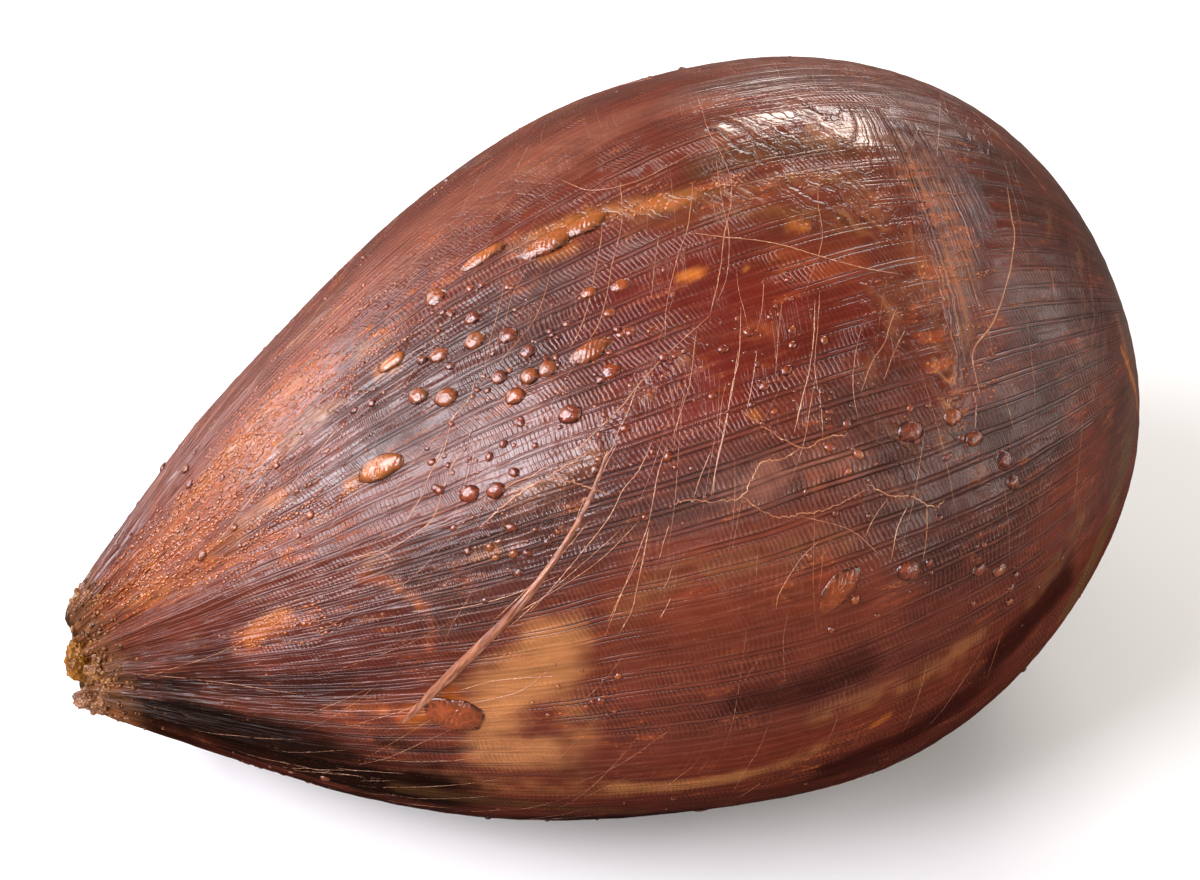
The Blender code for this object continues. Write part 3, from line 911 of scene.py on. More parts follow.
def stub_points(share, around):
    """Points of the craggy shank stub, from its middle to the edge of the skin."""
    middle = place(0.0, 0.0, 0.0)
    edge = skin(np.zeros_like(around), around)
    axis = place(0.0, 0.0, 0.0) - place(0.1, 0.0, 0.0)
    axis = axis / np.linalg.norm(axis)
    dome = axis * (STUB_REACH * np.sqrt(np.maximum(0.0, 1 - share**2)))[:, None]
    points = middle + (edge - middle) * share[:, None] + dome
    crag = noise_at(points, STUB_CRAG_SIZE) + 0.5 * noise_at(points * 2.1, STUB_CRAG_SIZE)
    return points + axis * (STUB_CRAG * crag * (1 - share**6))[:, None]


def fine_relief(field):
    """Extra height of the skin that its facets can hold: narrow pleats, folds of film and dimples."""
    along, around = field.along, field.around
    gather = np.exp(-along / 0.13)
    wander = 1.4 * np.sin(4 * around + 0.6) + 0.9 * np.sin(9 * around + 2.0)
    narrow = np.abs(np.sin(31 * around + 0.5 * wander + 2.2 * field.blotch)) ** 0.7
    height = 0.00075 * gather * (narrow - 0.6) * np.minimum(1.0, along / 0.01)
    height = height + 0.00050 * np.exp(-along / 0.30) * field.fine_streak
    folds = 1 - np.abs(noise_at(field.points, 0.0075, 11.0)) * 3.0
    height = height + 0.00028 * field.film * clamp(folds) * np.minimum(1.0, (1 - along) / 0.05)
    return height + 0.00016 * field.grain


class HAM_OT_skin(bpy.types.Operator):
    """Model the whole skin with its relief and painted tones"""

    bl_idname = "ham.skin"
    bl_label = "Skin"

    def execute(self, context):
        deselect()
        bpy.ops.mesh.primitive_uv_sphere_add(segments=SEGMENTS, ring_count=RINGS, radius=1.0)
        piece = take_selected("ham_skin")
        mesh = piece.data
        polar, turn = unit_places(mesh)
        ring = np.round(polar / math.pi * RINGS)
        around = turn - DENSE_SHARE * np.sin(turn) + math.radians(DENSE_TURN)
        share = np.maximum(0.0, ring - STUB_RINGS) / (RINGS - STUB_RINGS)
        along = np.sin(math.pi / 2 * share) ** 1.2
        plain = skin(along, around)
        field = SkinField(along, around, plain)
        field.film = painted_mask(field, self.loose_film(field), FILM_AREAS)
        points = skin(along, around, fine_relief(field))
        in_stub = ring < STUB_RINGS
        points[in_stub] = stub_points((ring / STUB_RINGS)[in_stub], around[in_stub])
        move_vertices(mesh, points)
        self.paint(mesh, field, in_stub)
        self.unroll(mesh, ring, around, points)
        mesh.update()
        self.face_outward(mesh)
        finish = context.scene.ham_finish
        finish_piece(piece, skin_material(finish))
        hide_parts(NODE)
        return {"FINISHED"}

    def loose_film(self, field):
        """Film on the sides that the photo doesn't show, in a few large irregular sheets."""
        hidden = smoothstep(-np.cos(field.around - math.radians(40)), -0.1, 0.4)
        return hidden * smoothstep(noise_at(field.points, 0.045, 21.0) + 0.3 * field.blotch, 0.10, 0.35) * 0.6

    def paint(self, mesh, field, in_stub):
        """Stores the tones and finishes on the vertices."""
        tones = painted_tones(field)
        rim = (1 - smoothstep(field.along + 0.012 * field.ragged, 0.008, 0.045))[:, None]
        tones = tones * (1 - rim) + np.array(TONES["tan brown"]) * rim * (0.8 + 0.5 * field.grain[:, None])
        tones[in_stub] = np.array(TONES["brown"])
        knit = painted_mask(field, 0.55 + 0.5 * field.blotch, KNIT_AREAS) * (1 - 0.8 * field.film)
        knit = knit * smoothstep(field.along, 0.06, 0.26)
        gather = clamp(np.exp(-field.along / 0.22) * 1.15 + 0.12)
        fleck = painted_mask(field, 0.16 + 0.25 * clamp(field.blotch), FLECK_AREAS)
        gloss = painted_mask(field, 0.75 + 0 * field.along, GLOSS_AREAS)
        under = smoothstep(-outward(field.along, field.around)[:, 2], -0.35, 0.25)
        gloss = gloss * (1 - 0.97 * under)
        bare = clamp(1 - gloss)
        for name, channels in (
            ("tone", tones.T),
            ("relief_marks", (knit, field.film, gather)),
            ("finish_marks", (fleck, gloss, bare)),
        ):
            layer = mesh.color_attributes.new(name, "FLOAT_COLOR", "POINT")
            values = np.ones((len(mesh.vertices), 4), np.float32)
            values[:, :3] = np.stack(channels, axis=-1)
            layer.data.foreach_set("color", values.ravel())
        arc = np.remainder(field.around - math.radians(DENSE_TURN) + math.pi, math.tau) * 0.075
        reach = field.along * LENGTH
        swing = 0.45 + 0.55 * smoothstep(-field.along, -0.75, -0.25)
        across = reach - swing * arc + 0.001 * field.blotch
        lean = mesh.attributes.new("lean", "FLOAT_VECTOR", "POINT")
        lines = np.stack((across / 0.0045, (arc + swing * reach) / 0.070, 0 * arc), axis=-1)
        lean.data.foreach_set("vector", lines.astype(np.float32).ravel())
        tilt = math.radians(42) + math.radians(43) * smoothstep(field.along, 0.72, 0.83)
        across = arc * np.cos(tilt) + reach * np.sin(tilt) + 0.0016 * field.blotch
        down = reach * np.cos(tilt) - arc * np.sin(tilt)
        fold_lines = mesh.attributes.new("fold_lines", "FLOAT_VECTOR", "POINT")
        grown = 0.016 - 0.009 * smoothstep(field.along, 0.78, 0.84)
        lines = np.stack((across / 0.0032, down / grown, 0 * arc), axis=-1)
        fold_lines.data.foreach_set("vector", lines.astype(np.float32).ravel())
        flow = mesh.attributes.new("flow", "FLOAT_VECTOR", "POINT")
        lines = np.stack((np.cos(field.around), np.sin(field.around), 6.0 * field.along), axis=-1)
        flow.data.foreach_set("vector", lines.astype(np.float32).ravel())

    def unroll(self, mesh, ring, around, points):
        """UV map that counts columns of stitches round the ham and ribs along it."""
        columns = np.zeros(len(ring))
        columns[:] = np.remainder(around - math.radians(DENSE_TURN) + math.pi, math.tau) / math.tau * WALES
        order = np.lexsort((np.round(around, 5), ring))
        ribs = np.zeros(len(ring))
        body = [row for row in np.split(order, np.unique(ring[order], return_index=True)[1][1:]) if len(row) > 1]
        reach = np.zeros(len(body[0]))
        for before, after in zip(body, body[1:]):
            reach = reach + np.linalg.norm(points[after] - points[before], axis=-1)
            ribs[after] = reach / RIB_PITCH
        ribs[ring == ring.max()] = ribs[body[-1]].mean()
        corners = np.empty(len(mesh.loops), np.int32)
        mesh.loops.foreach_get("vertex_index", corners)
        wales = columns[corners]
        starts = np.empty(len(mesh.polygons), np.int32)
        counts = np.empty(len(mesh.polygons), np.int32)
        mesh.polygons.foreach_get("loop_start", starts)
        mesh.polygons.foreach_get("loop_total", counts)
        face = np.repeat(np.arange(len(starts)), counts)
        at_pole = np.isin(ring[corners], (0, ring.max()))
        high = np.full(len(starts), -1e9)
        np.maximum.at(high, face, np.where(at_pole, -1e9, wales))
        wales = np.where(high[face] - wales > WALES / 2, wales + WALES, wales)
        wales = np.where(at_pole, high[face], wales)
        layer = mesh.uv_layers.new(name="stitches") if not mesh.uv_layers else mesh.uv_layers[0]
        layer.name = "stitches"
        layer.data.foreach_set("uv", np.stack((wales, ribs[corners]), axis=-1).astype(np.float32).ravel())

    def face_outward(self, mesh):
        shell = bmesh.new()
        shell.from_mesh(mesh)
        bmesh.ops.recalc_face_normals(shell, faces=shell.faces)
        shell.to_mesh(mesh)
        shell.free()


# Blisters, as in the solid: share along, degrees around, half length, half width, turn, tone
BLISTERS = (
    (0.365, 88, 0.0030, 0.0026, 40, "amber"),
    (0.385, 80, 0.0022, 0.0018, 0, "orange red"),
    (0.380, 76, 0.0028, 0.0024, 0, "amber"),
    (0.350, 77, 0.0026, 0.0020, 20, "amber"),
    (0.325, 72, 0.0026, 0.0022, 40, "amber"),
    (0.345, 69, 0.0030, 0.0026, 40, "amber"),
    (0.405, 74, 0.0024, 0.0021, 0, "orange red"),
    (0.415, 70, 0.0021, 0.0018, 0, "orange red"),
    (0.470, 62, 0.0023, 0.0021, 0, "orange red"),
    (0.410, 66, 0.0024, 0.0022, 0, "amber"),
    (0.425, 66, 0.0024, 0.0022, 0, "amber"),
    (0.395, 64, 0.0024, 0.0021, 0, "amber"),
    (0.388, 68, 0.0021, 0.0018, 0, "orange red"),
    (0.430, 58, 0.0028, 0.0024, 10, "orange red"),
    (0.460, 66, 0.0055, 0.0027, -8, "amber"),
    (0.475, 75, 0.0022, 0.0017, 0, "amber"),
    (0.500, 74, 0.0026, 0.0018, 0, "amber"),
    (0.410, 90, 0.0062, 0.0020, 0, "amber"),
    (0.460, 86, 0.0072, 0.0032, 0, "amber"),
    (0.495, 86, 0.0064, 0.0028, 0, "amber"),
    (0.280, 63, 0.0058, 0.0030, 5, "amber"),
    (0.315, 81, 0.0036, 0.0020, 0, "amber"),
    (0.340, 52, 0.0025, 0.0022, 0, "orange red"),
    (0.360, 51, 0.0022, 0.0021, 0, "orange red"),
    (0.685, 41, 0.0034, 0.0026, 10, "orange red"),
    (0.725, 41, 0.0026, 0.0022, 0, "orange red"),
    (0.740, 37, 0.0026, 0.0020, 0, "orange red"),
    (0.765, 32, 0.0030, 0.0024, 60, "red brown"),
    (0.770, 28, 0.0024, 0.0019, 60, "red brown"),
    (0.660, 22, 0.0034, 0.0026, 20, "orange red"),
    (0.725, 17, 0.0021, 0.0018, 0, "red brown"),
    (0.745, 15, 0.0022, 0.0017, 0, "amber"),
    (0.600, 23, 0.0066, 0.0034, -34, "pocket"),
    (0.286, 12.5, 0.0068, 0.0050, 24, "pocket"),
)
BLISTER_SINK = 0.15
BLISTER_MAX_RISE = 0.0016
BUBBLE_HOMES = (
    (30, 60, (430, 320)), (40, 90, (520, 380)), (26, 60, (460, 480)), (30, 70, (650, 360)),
    (30, 60, (760, 330)), (26, 60, (880, 430)), (24, 60, (960, 440)), (22, 60, (900, 580)),
    (16, 50, (1000, 570)), (30, 80, (340, 400)), (30, 70, (250, 500)), (24, 50, (780, 400)),
    (20, 60, (660, 470)), (24, 70, (560, 300)), (20, 40, (510, 545)), (14, 40, (590, 700)),
)

# Strings of beads: how many, how widely they scatter in pixels, and the line they scatter about
BEAD_HOMES = (
    (84, 13, (115, 600), (240, 470)),
    (66, 13, (140, 560), (330, 320)),
    (34, 12, (170, 600), (320, 500)),
    (26, 10, (100, 610), (190, 560)),
    (14, 10, (210, 640), (320, 620)),
    (14, 9, (300, 420), (400, 330)),
    (10, 8, (520, 240), (640, 205)),
    (7, 9, (920, 180), (965, 300)),
    (9, 6, (960, 330), (948, 430)),
    (6, 8, (690, 190), (850, 180)),
    (4, 14, (860, 280), (900, 360)),
)

# Dried threads over the skin: thickness as a share of the usual, line in pixels
THREADS = (
    (1.0, ((620, 182), (622, 221), (612, 265), (606, 299), (598, 325), (587, 343))),
    (1.0, ((603, 210), (601, 240), (595, 272), (588, 306), (577, 336), (570, 347))),
    (1.0, ((693, 182), (688, 226), (678, 256), (670, 288), (666, 313), (665, 343))),
    (1.6, ((731, 172), (731, 203), (724, 237), (720, 272), (710, 315))),
    (1.0, ((716, 160), (722, 200), (729, 236), (727, 275), (718, 300))),
    (1.5, ((710, 315), (687, 336), (662, 359), (637, 387), (623, 405), (605, 423), (587, 440), (573, 455))),
    (1.2, ((637, 387), (628, 412), (619, 430), (613, 446), (600, 470))),
    (1.1, ((475, 377), (470, 398), (453, 419), (444, 449), (433, 470))),
    (0.9, ((421, 262), (405, 290), (385, 322), (372, 340))),
    (0.8, ((552, 267), (538, 313), (518, 341), (495, 368), (470, 400))),
    (0.8, ((504, 283), (499, 308), (490, 341), (484, 372))),
    (0.8, ((530, 262), (512, 296), (503, 330), (488, 360))),
    (0.9, ((697, 327), (690, 382), (684, 402), (672, 440))),
    (0.9, ((738, 350), (733, 387), (724, 428), (715, 474))),
    (1.1, ((694, 233), (725, 237), (769, 242), (810, 253), (847, 264), (874, 270), (904, 275))),
    (1.5, ((815, 300), (814, 334), (810, 367), (803, 396), (794, 434))),
    (0.8, ((820, 290), (818, 323), (815, 369), (821, 405), (823, 440))),
    (1.3, ((741, 307), (739, 357), (732, 387), (725, 429), (716, 468), (711, 497))),
    (1.2, ((757, 350), (753, 380), (747, 410))),
    (0.8, ((764, 280), (762, 310), (757, 330))),
    (1.3, ((445, 440), (429, 477), (423, 493), (412, 512), (403, 528))),
    (1.2, ((467, 447), (453, 464), (444, 486), (433, 518), (414, 534), (387, 550), (352, 560))),
    (1.0, ((619, 440), (607, 463), (593, 491), (582, 504), (574, 528))),
    (1.1, ((653, 440), (639, 470), (623, 490), (610, 516), (587, 546), (563, 575), (530, 612))),
    (1.1, ((667, 445), (658, 474), (653, 500), (648, 525), (639, 550), (619, 600), (605, 636))),
    (1.4, ((649, 527), (644, 555), (637, 587), (632, 610), (619, 634))),
    (1.0, ((711, 451), (700, 478), (694, 497))),
    (0.9, ((720, 445), (715, 474), (713, 496))),
    (0.9, ((669, 525), (664, 541), (659, 560))),
    (0.8, ((672, 568), (668, 580), (664, 588))),
    (0.8, ((671, 598), (665, 610), (660, 618))),
    (0.9, ((640, 556), (622, 592), (608, 622))),
    (0.9, ((467, 704), (518, 692), (550, 669))),
    (0.8, ((460, 690), (500, 680), (560, 676))),
    (0.8, ((888, 498), (874, 518), (865, 537))),
    (1.1, ((907, 507), (897, 530), (891, 560))),
    (1.1, ((927, 507), (926, 541), (923, 560))),
    (1.3, ((897, 307), (890, 325), (884, 344), (872, 362), (861, 392))),
    (1.0, ((905, 330), (894, 352), (884, 380))),
    (0.8, ((864, 320), (856, 350), (853, 385), (858, 420))),
    (0.9, ((560, 575), (520, 592), (480, 604), (440, 612))),
    (0.8, ((640, 520), (600, 560), (556, 590), (500, 622))),
    (0.8, ((620, 530), (580, 566), (540, 600), (505, 630))),
    (0.8, ((590, 520), (560, 556), (520, 596), (492, 622))),
    (0.7, ((820, 540), (800, 560), (780, 592), (776, 610))),
    (0.8, ((700, 100), (708, 130), (724, 160), (735, 190))),
    (0.8, ((560, 180), (590, 190), (640, 180), (700, 150), (760, 130))),
    (0.8, ((820, 165), (818, 200), (822, 240), (806, 290))),
    (0.7, ((660, 230), (655, 262), (651, 300))),
    (0.7, ((782, 300), (778, 340), (775, 380))),
    (0.9, ((340, 425), (318, 452), (296, 480), (268, 512), (236, 545))),
    (0.9, ((300, 440), (280, 462), (250, 500), (215, 545), (180, 575))),
    (0.7, ((380, 330), (352, 372), (320, 420))),
    (0.8, ((880, 555), (850, 530), (800, 516))),
)
# Torn edges of film: thickness, line in pixels
FILM_LINES = (
    (1.6, ((741, 410), (766, 428), (801, 447), (828, 438), (850, 434))),
    (1.7, ((801, 447), (785, 458), (762, 463), (753, 477), (741, 497), (714, 502))),
    (1.5, ((741, 497), (766, 513), (780, 517), (801, 514), (830, 508), (866, 490))),
    (1.7, ((867, 484), (888, 495), (911, 497), (934, 507), (944, 500))),
    (2.2, ((550, 478), (527, 488), (508, 502), (492, 516), (479, 529))),
    (1.6, ((550, 478), (570, 481), (587, 487), (610, 495))),
    (1.8, ((590, 452), (573, 462), (561, 468), (550, 478))),
    (1.5, ((974, 390), (976, 410), (975, 430))),
    (1.4, ((714, 502), (690, 500), (672, 504))),
    (1.4, ((480, 500), (500, 489), (530, 476), (560, 460))),
    (1.2, ((350, 560), (362, 556), (380, 552), (392, 560))),
)
FILM_EDGE = (
    (0.855, 78, 0.0005),
    (0.845, 71, 0.0007),
    (0.840, 67, 0.0008),
    (0.820, 60, 0.0008),
    (0.790, 53, 0.0009),
    (0.760, 49, 0.0009),
    (0.755, 43, 0.0006),
)
TENDON = (
    (0.245, 11, 0.0009),
    (0.275, 18, 0.0021),
    (0.310, 25, 0.0021),
    (0.360, 33, 0.0016),
    (0.400, 40, 0.0011),
    (0.425, 45, 0.0009),
    (0.450, 51, 0.0006),
)


class SkinSurface:
    """The finished skin's mesh, for laying small pieces on it."""

    def __init__(self):
        skin_piece = bpy.data.objects["ham_skin"]
        self.tree = BVHTree.FromObject(skin_piece, bpy.context.evaluated_depsgraph_get())

    def tone_at(self, point):
        """Tone of the skin at a point."""
        piece = bpy.data.objects["ham_skin"]
        face = piece.data.polygons[self.tree.find_nearest(Vector(point))[2]]
        layer = piece.data.color_attributes["tone"]
        return np.mean([layer.data[corner].color[:3] for corner in face.vertices], axis=0)

    def drop(self, points, normals):
        """Points moved along their normals onto the skin."""
        landed = []
        for point, normal in zip(points, normals):
            start = Vector(point) + Vector(normal) * 0.004
            hit = self.tree.ray_cast(start, -Vector(normal), 0.012)[0]
            landed.append(hit if hit else Vector(point))
        return np.array(landed)


def dome_material(name="blister amber", roughness=0.20):
    """Amber blisters: a thin glossy skin over clear fat, with painted shade darkening each dome towards its base."""
    graph = Graph(name, roughness, Specular_IOR_Level=0.8)
    tone = attribute(graph, "tone")
    spot = graph.node("ShaderNodeTexCoord", {}, (), "Object")
    cloud = graph.grain(spot, 500.0, 3.0, 0.6)
    veins = graph.crease(spot, 420.0, 2.0, 0.6)
    colour = graph.tint(tone, 0.55 + cloud * 0.9)
    colour = graph.mix(graph.ease(veins, 0.4, 1.0) * 0.35, colour, TONES["orange red"])
    graph.feed("Base Color", colour)
    graph.bump(cloud * 0.10 + graph.ease(veins, 0.2, 1.0) * 0.06)
    return graph.material


def globe(segments, rings):
    """Places and faces of a unit globe."""
    deselect()
    if bpy.context.object and bpy.context.object.name == "globe":
        bpy.data.objects.remove(bpy.context.object)
    bpy.ops.mesh.primitive_uv_sphere_add(segments=segments, ring_count=rings, radius=1.0)
    mesh = take_selected("globe").data
    unit = np.empty(len(mesh.vertices) * 3, np.float32)
    mesh.vertices.foreach_get("co", unit)
    return unit.reshape(-1, 3).astype(float), [tuple(face.vertices) for face in mesh.polygons]


def domes_on_skin(name, seeds, surface, share_of_tone=0.30, coarse=(18, 12)):
    """One mesh of many domes. A seed is (along, around, half length, half width, rise, turn, tone)."""
    small, large = globe(*coarse), globe(56, 28)
    points, tones, all_faces, total = [], [], [], 0
    for number, (along, around, half_length, half_width, rise, turn, tone) in enumerate(seeds):
        unit, faces = large if half_length > 0.004 else small
        ahead = unit[:, 0] * half_length
        side = unit[:, 1] * half_width
        if turn:
            ahead, side = (
                ahead * math.cos(turn) - side * math.sin(turn),
                ahead * math.sin(turn) + side * math.cos(turn),
            )
        wobble = 1 + (0.26 if tone == "pocket" else 0.13) * noise_at(unit * 1.3 + number, 1.0)
        here = along + ahead * wobble / LENGTH
        radius = HALF_WIDTH * max(0.12, float(girth(np.array(along), np.array(around))))
        turned = around - side * wobble / radius
        here = clamp(here, 0.0, 0.995)
        normal = outward(here, turned)
        middle = surface.drop(skin(np.array([along]), np.array([around])), outward(np.array([along]), np.array([around])))
        lift = surface_offset(middle[0], along, around)
        height = np.where(unit[:, 2] > 0, unit[:, 2] * rise, unit[:, 2] * 0.35 * rise) - BLISTER_SINK * rise
        if half_length > 0.004:
            dents = 0.16 * noise_at(unit * np.array((1.0, half_width / half_length, 1.0)) + number, 0.3)
            ribs = 0.13 * np.sin(math.tau * (ahead + 0.5 * side) / RIB_PITCH)
            height = height * (1 + dents + ribs)
        spots = form(here, turned) + normal * (height + lift)[:, None]
        spots[:, 2] = np.maximum(spots[:, 2], 0.0001)
        points.append(spots)
        crown = smoothstep(unit[:, 2], 0.25, 0.95)[:, None]
        below = surface.tone_at(middle[0])
        # Painted shade: each dome darker round its base, where it meets the skin.
        painted_base_shade = below * 0.22
        tinged = share_of_tone * (0.72 if tone in ("amber", "orange", "pocket") else 0.35)
        top = np.array(TONES[tone]) * tinged + below * 0.80
        tones.append(painted_base_shade * (1 - crown) + top * crown)
        all_faces.extend(tuple(corner + total for corner in face) for face in faces)
        total += len(unit)
    dome = bpy.data.objects[bpy.context.object.name]
    dome.name = name
    mesh = bpy.data.meshes.new(name)
    mesh.from_pydata(np.concatenate(points).tolist(), [], all_faces)
    layer = mesh.color_attributes.new("tone", "FLOAT_COLOR", "POINT")
    values = np.ones((len(mesh.vertices), 4), np.float32)
    values[:, :3] = np.concatenate(tones)
    layer.data.foreach_set("color", values.ravel())
    shell = bmesh.new()
    shell.from_mesh(mesh)
    bmesh.ops.recalc_face_normals(shell, faces=shell.faces)
    shell.to_mesh(mesh)
    shell.free()
    dome.data = mesh
    return dome


def surface_offset(point, along, around):
    """How far a point of the finished skin stands above the smooth teardrop."""
    flat = form(np.array(along), np.array(around))
    return float((point - flat) @ outward(np.array(along), np.array(around)))


class HAM_OT_blisters(bpy.types.Operator):
    """Raise the amber blisters and scatter small bubbles"""

    bl_idname = "ham.blisters"
    bl_label = "Blisters"

    def execute(self, context):
        sizes = context.scene.ham_sizes
        surface = SkinSurface()
        seeds = []
        for along, around, half_length, half_width, turn, tone in BLISTERS:
            rise = min(BLISTER_MAX_RISE, sizes.blister_rise * half_width * (0.55 if tone == "pocket" else 1.0))
            seeds.append((along, math.radians(around), half_length, half_width, rise, math.radians(turn), tone))
        draw = random.Random(7)
        for _ in range(46):
            along, around = draw.uniform(0.2, 0.92), math.radians(draw.uniform(168, 330))
            size = draw.uniform(0.0012, 0.0032)
            longer = size * draw.uniform(1.0, 1.9)
            tone = draw.choice(("amber", "orange red", "amber", "red brown"))
            rise = min(BLISTER_MAX_RISE, sizes.blister_rise * size)
            seeds.append((along, around, longer, size, rise, draw.uniform(-0.6, 0.6), tone))
        piece = domes_on_skin("blisters", seeds, surface)
        finish_piece(piece, dome_material())
        return {"FINISHED"}


class HAM_OT_beads(bpy.types.Operator):
    """String tiny beads of fat along the gathers"""

    bl_idname = "ham.beads"
    bl_label = "Beads"

    def execute(self, context):
        surface = SkinSurface()
        draw = random.Random(41)
        seeds = []
        for count, spread, low, high in BEAD_HOMES:
            for _ in range(count):
                share = draw.random()
                x = low[0] + (high[0] - low[0]) * share + draw.gauss(0, spread)
                y = low[1] + (high[1] - low[1]) * share + draw.gauss(0, spread)
                self.string(draw, seeds, *CHART.at(x, y))
        for _ in range(90):
            self.string(draw, seeds, draw.uniform(0.03, 0.40), math.radians(draw.uniform(120, 330)))
        piece = domes_on_skin("beads", seeds[:3000], surface, 0.50, (8, 6))
        finish_piece(piece, dome_material("fat beads", 0.06))
        return {"FINISHED"}

    def string(self, draw, seeds, along, around):
        """Beads in a row along a gather, some side by side."""
        for _ in range(draw.randint(3, 13)):
            along += draw.uniform(0.5, 1.6) * 0.0011 / LENGTH
            around += draw.gauss(0, 0.0006) / (HALF_WIDTH * max(0.2, float(girth(np.array(along), np.array(around)))))
            size = draw.uniform(0.00018, 0.00044)
            tone = draw.choice(("amber", "amber", "orange", "orange red"))
            if 0.005 < along < 0.97:
                seeds.append((along, around, size * draw.uniform(1.0, 1.7), size, size * 0.8, 0.0, tone))


class HAM_OT_bubbles(bpy.types.Operator):
    """Scatter small bubbles of fat over the skin"""

    bl_idname = "ham.bubbles"
    bl_label = "Bubbles"

    def execute(self, context):
        surface = SkinSurface()
        draw = random.Random(23)
        seeds = []
        for count, spread, middle in BUBBLE_HOMES:
            for _ in range(count):
                pixel = (draw.gauss(middle[0], spread * 0.6), draw.gauss(middle[1], spread * 0.5))
                along, around = CHART.at(*pixel)
                seeds.append(self.bubble(draw, along, around))
        for _ in range(max(0, context.scene.ham_sizes.bubble_count - len(seeds) + 240)):
            seeds.append(self.bubble(draw, draw.uniform(0.08, 0.96), math.radians(draw.uniform(115, 345))))
        piece = domes_on_skin("bubbles", seeds, surface)
        finish_piece(piece, dome_material())
        return {"FINISHED"}

    def bubble(self, draw, along, around):
        size = 0.00035 + 0.0009 * draw.random() ** 3
        tone = draw.choice(("orange red", "red brown", "amber", "maroon"))
        return along, around, size * draw.uniform(1.0, 1.4), size, size * 0.7, draw.uniform(0, 3), tone


def thread_material():
    """Dried collagen: cream to gold, glossy."""
    graph = Graph("dried collagen", 0.16, Specular_IOR_Level=0.8)
    spot = graph.node("ShaderNodeTexCoord", {}, (), "Object")
    change = graph.grain(spot, 90.0, 3.0, 0.6)
    speck = graph.grain(spot, 900.0, 2.0)
    colour = graph.mix(graph.ease(change, 0.35, 0.65), (0.40, 0.17, 0.07), (0.30, 0.10, 0.06))
    colour = graph.mix(graph.ease(speck, 0.55, 0.72) * 0.7, colour, (0.70, 0.46, 0.28))
    graph.feed("Base Color", colour)
    graph.bump(speck * 0.08)
    return graph.material


def tendon_material():
    """Tendon: pinkish cream, streaked along its length."""
    graph = Graph("tendon", 0.28, Specular_IOR_Level=0.5)
    spot = graph.node("ShaderNodeTexCoord", {}, (), "Object")
    low, high = (skin(along, math.radians(turn)) for along, turn, _ in (TENDON[1], TENDON[-2]))
    heading = tuple((high - low) / np.linalg.norm(high - low))
    reach = graph.node("ShaderNodeVectorMath", {"operation": "DOT_PRODUCT"}, (spot, heading), 1)
    back = graph.node("ShaderNodeVectorMath", {"operation": "SCALE"}, {0: heading, "Scale": reach * -0.94})
    drawn = graph.node("ShaderNodeVectorMath", {"operation": "ADD"}, (spot, back))
    cloud = graph.grain(spot, 140.0, 3.0, 0.6)
    fibre = graph.grain(drawn, 1100.0, 3.0, 0.6)
    colour = graph.mix(graph.ease(cloud, 0.35, 0.7), (0.30, 0.105, 0.052), (0.17, 0.045, 0.020))
    colour = graph.mix(graph.ease(fibre, 0.45, 0.75) * 0.6, colour, (0.50, 0.25, 0.15))
    colour = graph.tint(colour, 0.55 + graph.ease(fibre, 0.30, 0.55) * 0.45)
    graph.feed("Base Color", colour)
    graph.bump(fibre * 0.6 + cloud * 0.3)
    return graph.material


def strands(name, routes, surface, sink, sides=1):
    """Tapered strands over the skin, as one mesh. A route is rows of (along, around, radius)."""
    deselect()
    curve = bpy.data.curves.new(name, "CURVE")
    curve.dimensions = "3D"
    curve.bevel_depth = 1.0
    curve.bevel_resolution = sides
    curve.use_fill_caps = True
    for route in routes:
        along, around, radius = route[:, 0], route[:, 1], route[:, 2]
        normals = outward(along, around)
        middles = surface.drop(skin(along, around), normals) - normals * (sink * radius)[:, None]
        spline = curve.splines.new("POLY")
        spline.points.add(len(route) - 1)
        for point, middle, thick in zip(spline.points, middles, radius):
            point.co = (*middle, 1.0)
            point.radius = thick
    drawn = bpy.data.objects.new(name, curve)
    bpy.context.scene.collection.objects.link(drawn)
    bpy.context.view_layer.objects.active = drawn
    drawn.select_set(True)
    bpy.ops.object.convert(target="MESH")
    piece = take_selected(name)
    shell = bmesh.new()
    shell.from_mesh(piece.data)
    bmesh.ops.remove_doubles(shell, verts=shell.verts, dist=1e-7)
    bmesh.ops.recalc_face_normals(shell, faces=shell.faces)
    shell.to_mesh(piece.data)
    shell.free()
    return piece


def pixel_strand(pixels, radius, draw, wobble=0.0):
    """A strand's route through pixels, thinner at its ends and a little uneven."""
    route = CHART.route(pixels, 9)
    share = np.linspace(0, 1, len(route))
    taper = smoothstep(share, -0.02, 0.12) * smoothstep(-share, -1.02, -0.85)
    uneven = np.array([draw.uniform(0.65, 1.25) for _ in share])
    thick = radius * (0.30 + 0.70 * taper) * uneven
    shift = np.array([(draw.gauss(0, wobble) / LENGTH, draw.gauss(0, wobble) / 0.09) for _ in share])
    return np.column_stack((route + shift, thick))


def fine_strand(draw, radius):
    """A fine strand anywhere on the skin, leaning across the stitches towards the shank."""
    along, turn = draw.uniform(0.16, 0.88), math.radians(draw.uniform(-35, 325))
    heading = draw.gauss(0.2 + 2.4 * (along - 0.16), 0.18) if along < 0.6 else draw.gauss(1.3, 0.25)
    length = draw.uniform(0.008, 0.045)
    knots = [(along, turn)]
    for _ in range(3):
        heading += draw.gauss(0, 0.07)
        wide = HALF_WIDTH * max(0.15, float(girth(np.array(knots[-1][0]), np.array(knots[-1][1]))))
        step = length / 3
        ahead = knots[-1][0] - math.cos(heading) * step / LENGTH
        knots.append((min(0.97, max(0.03, ahead)), knots[-1][1] - math.sin(heading) * step / wide))
    route = smooth_route(knots, 6)
    share = np.linspace(0, 1, len(route))
    thick = radius * (0.3 + 0.7 * np.sin(math.pi * share)) * np.array([draw.uniform(0.6, 1.2) for _ in share])
    return np.column_stack((route, thick))


